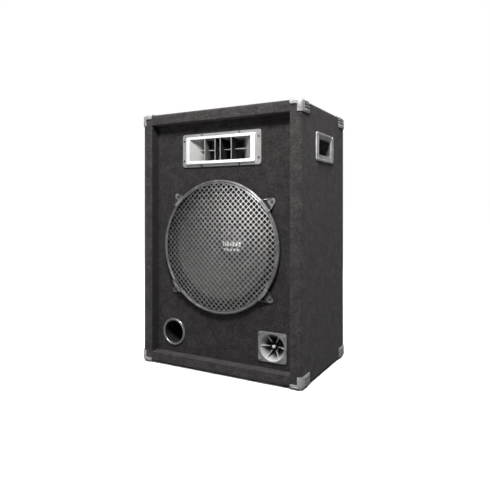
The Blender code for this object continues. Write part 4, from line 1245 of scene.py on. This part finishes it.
KEPT = {
    "chipboard": ["side_panel_left", "side_panel_right", "top_panel", "bottom_panel", "rear_panel",
                  "front_baffle", "front_batten_top", "front_batten_bottom", "front_batten_left",
                  "front_batten_right"],
    "frame_paint": ["woofer_basket"],
    "gasket_foam": ["woofer_gasket"],
    "machined_steel": ["top_plate", "back_plate"],
    "ferrite": ["magnet", "mid_driver"],
    "coil_former": ["voice_coil"],
    "black_plastic": ["tweeter_driver", "crossover_capacitor"],
    "circuit_board": ["crossover_board"],
    "copper_wire": ["crossover_coil"],
    "lead_rubber": ["input_lead", "woofer_lead", "mid_lead", "tweeter_lead"],
    "wadding": ["damping_mat"],
}


def kept_nodes():
    """Better materials for the pieces inside the box."""
    for finish, nodes in KEPT.items():
        for node in nodes:
            mesh = frame["nodes"][node].data
            mesh.materials.clear()
            mesh.materials.append(FINISH[finish])


# ---- stage

def studio():
    """Pale floor under an even overhead light, white surroundings, and four soft lamps."""
    floor = loose(block((-12, -12, -0.05), (12, 12, 0)), "floor")
    paint = Finish("floor_paint")
    paint.constant(Roughness=0.9)
    tone = paint.node("ShaderNodeMix")
    tone.data_type = "RGBA"
    tone.inputs[6].default_value = (0.16, 0.16, 0.16, 1)
    tone.inputs[7].default_value = (0.88, 0.88, 0.88, 1)
    paint.join(paint.node("ShaderNodeLightPath").outputs["Is Camera Ray"], tone.inputs[0])
    paint.join(tone.outputs[2], paint.shader.inputs["Base Color"])
    floor.data.materials.append(paint.material)

    world = bpy.data.worlds.new("studio")
    world.use_nodes = True
    nodes, links = world.node_tree.nodes, world.node_tree.links
    soft = nodes["Background"]
    soft.inputs["Color"].default_value = (1.0, 1.0, 1.0, 1)
    soft.inputs["Strength"].default_value = 0.05
    seen = nodes.new("ShaderNodeBackground")
    seen.inputs["Color"].default_value = (1.0, 1.0, 1.0, 1)
    mix = nodes.new("ShaderNodeMixShader")
    links.new(nodes.new("ShaderNodeLightPath").outputs["Is Camera Ray"], mix.inputs["Fac"])
    links.new(soft.outputs["Background"], mix.inputs[1])
    links.new(seen.outputs["Background"], mix.inputs[2])
    links.new(mix.outputs["Shader"], nodes["World Output"].inputs["Surface"])
    bpy.context.scene.world = world

    overhead = bpy.data.lights.new("overhead", "SUN")
    overhead.energy = 3.7
    overhead.angle = radians(50)
    linked("overhead", overhead)

    lamps = {                            # place, aim, size, power
        "key": ((0.5, -1.1, 1.72), (0, -0.18, 0.56), 0.45, 44),
        "front": ((-0.7, -2.2, 0.76), (0.05, -0.18, 0.48), 0.9, 10),
        "side": ((0.9, 0.00, 1.5), (0.26, 0, 0.74), 0.5, 3.6),
        "rear": ((-0.35, 2.1, 1.15), (0, 0.17, 0.42), 1.0, 30),
    }
    for name, (place, aim, size, power) in lamps.items():
        light = bpy.data.lights.new(name, "AREA")
        light.shape = "DISK"
        light.size = size
        light.energy = power
        lamp = linked(name, light)
        lamp.location = place
        lamp.rotation_euler = (Vector(aim) - Vector(place)).to_track_quat("-Z", "Y").to_euler()


def camera():
    """Seen from the right, a little above the middle, level, with a small downward shift."""
    data = bpy.data.cameras.new("camera")
    data.sensor_width = 36
    data.lens = 35.8
    data.shift_y = -0.078
    data.clip_end = 60
    made = linked("camera", data)
    made.location = (0.7575, -1.3678, 0.485)
    made.rotation_euler = (pi / 2, 0, 0.5066)
    bpy.context.scene.camera = made
    bpy.context.scene.view_settings.view_transform = "Standard"


carpet()
corners()
grille_rim()
grille_mesh()
for clamp_number, clamp_angle in enumerate(CLAMP_ANGLES, 1):
    clamp(clamp_number, clamp_angle)
cone()
suspension()
mid_horn()
tweeter()
reflex_port()
handles()
terminals()
levers()
kept_nodes()
studio()
camera()
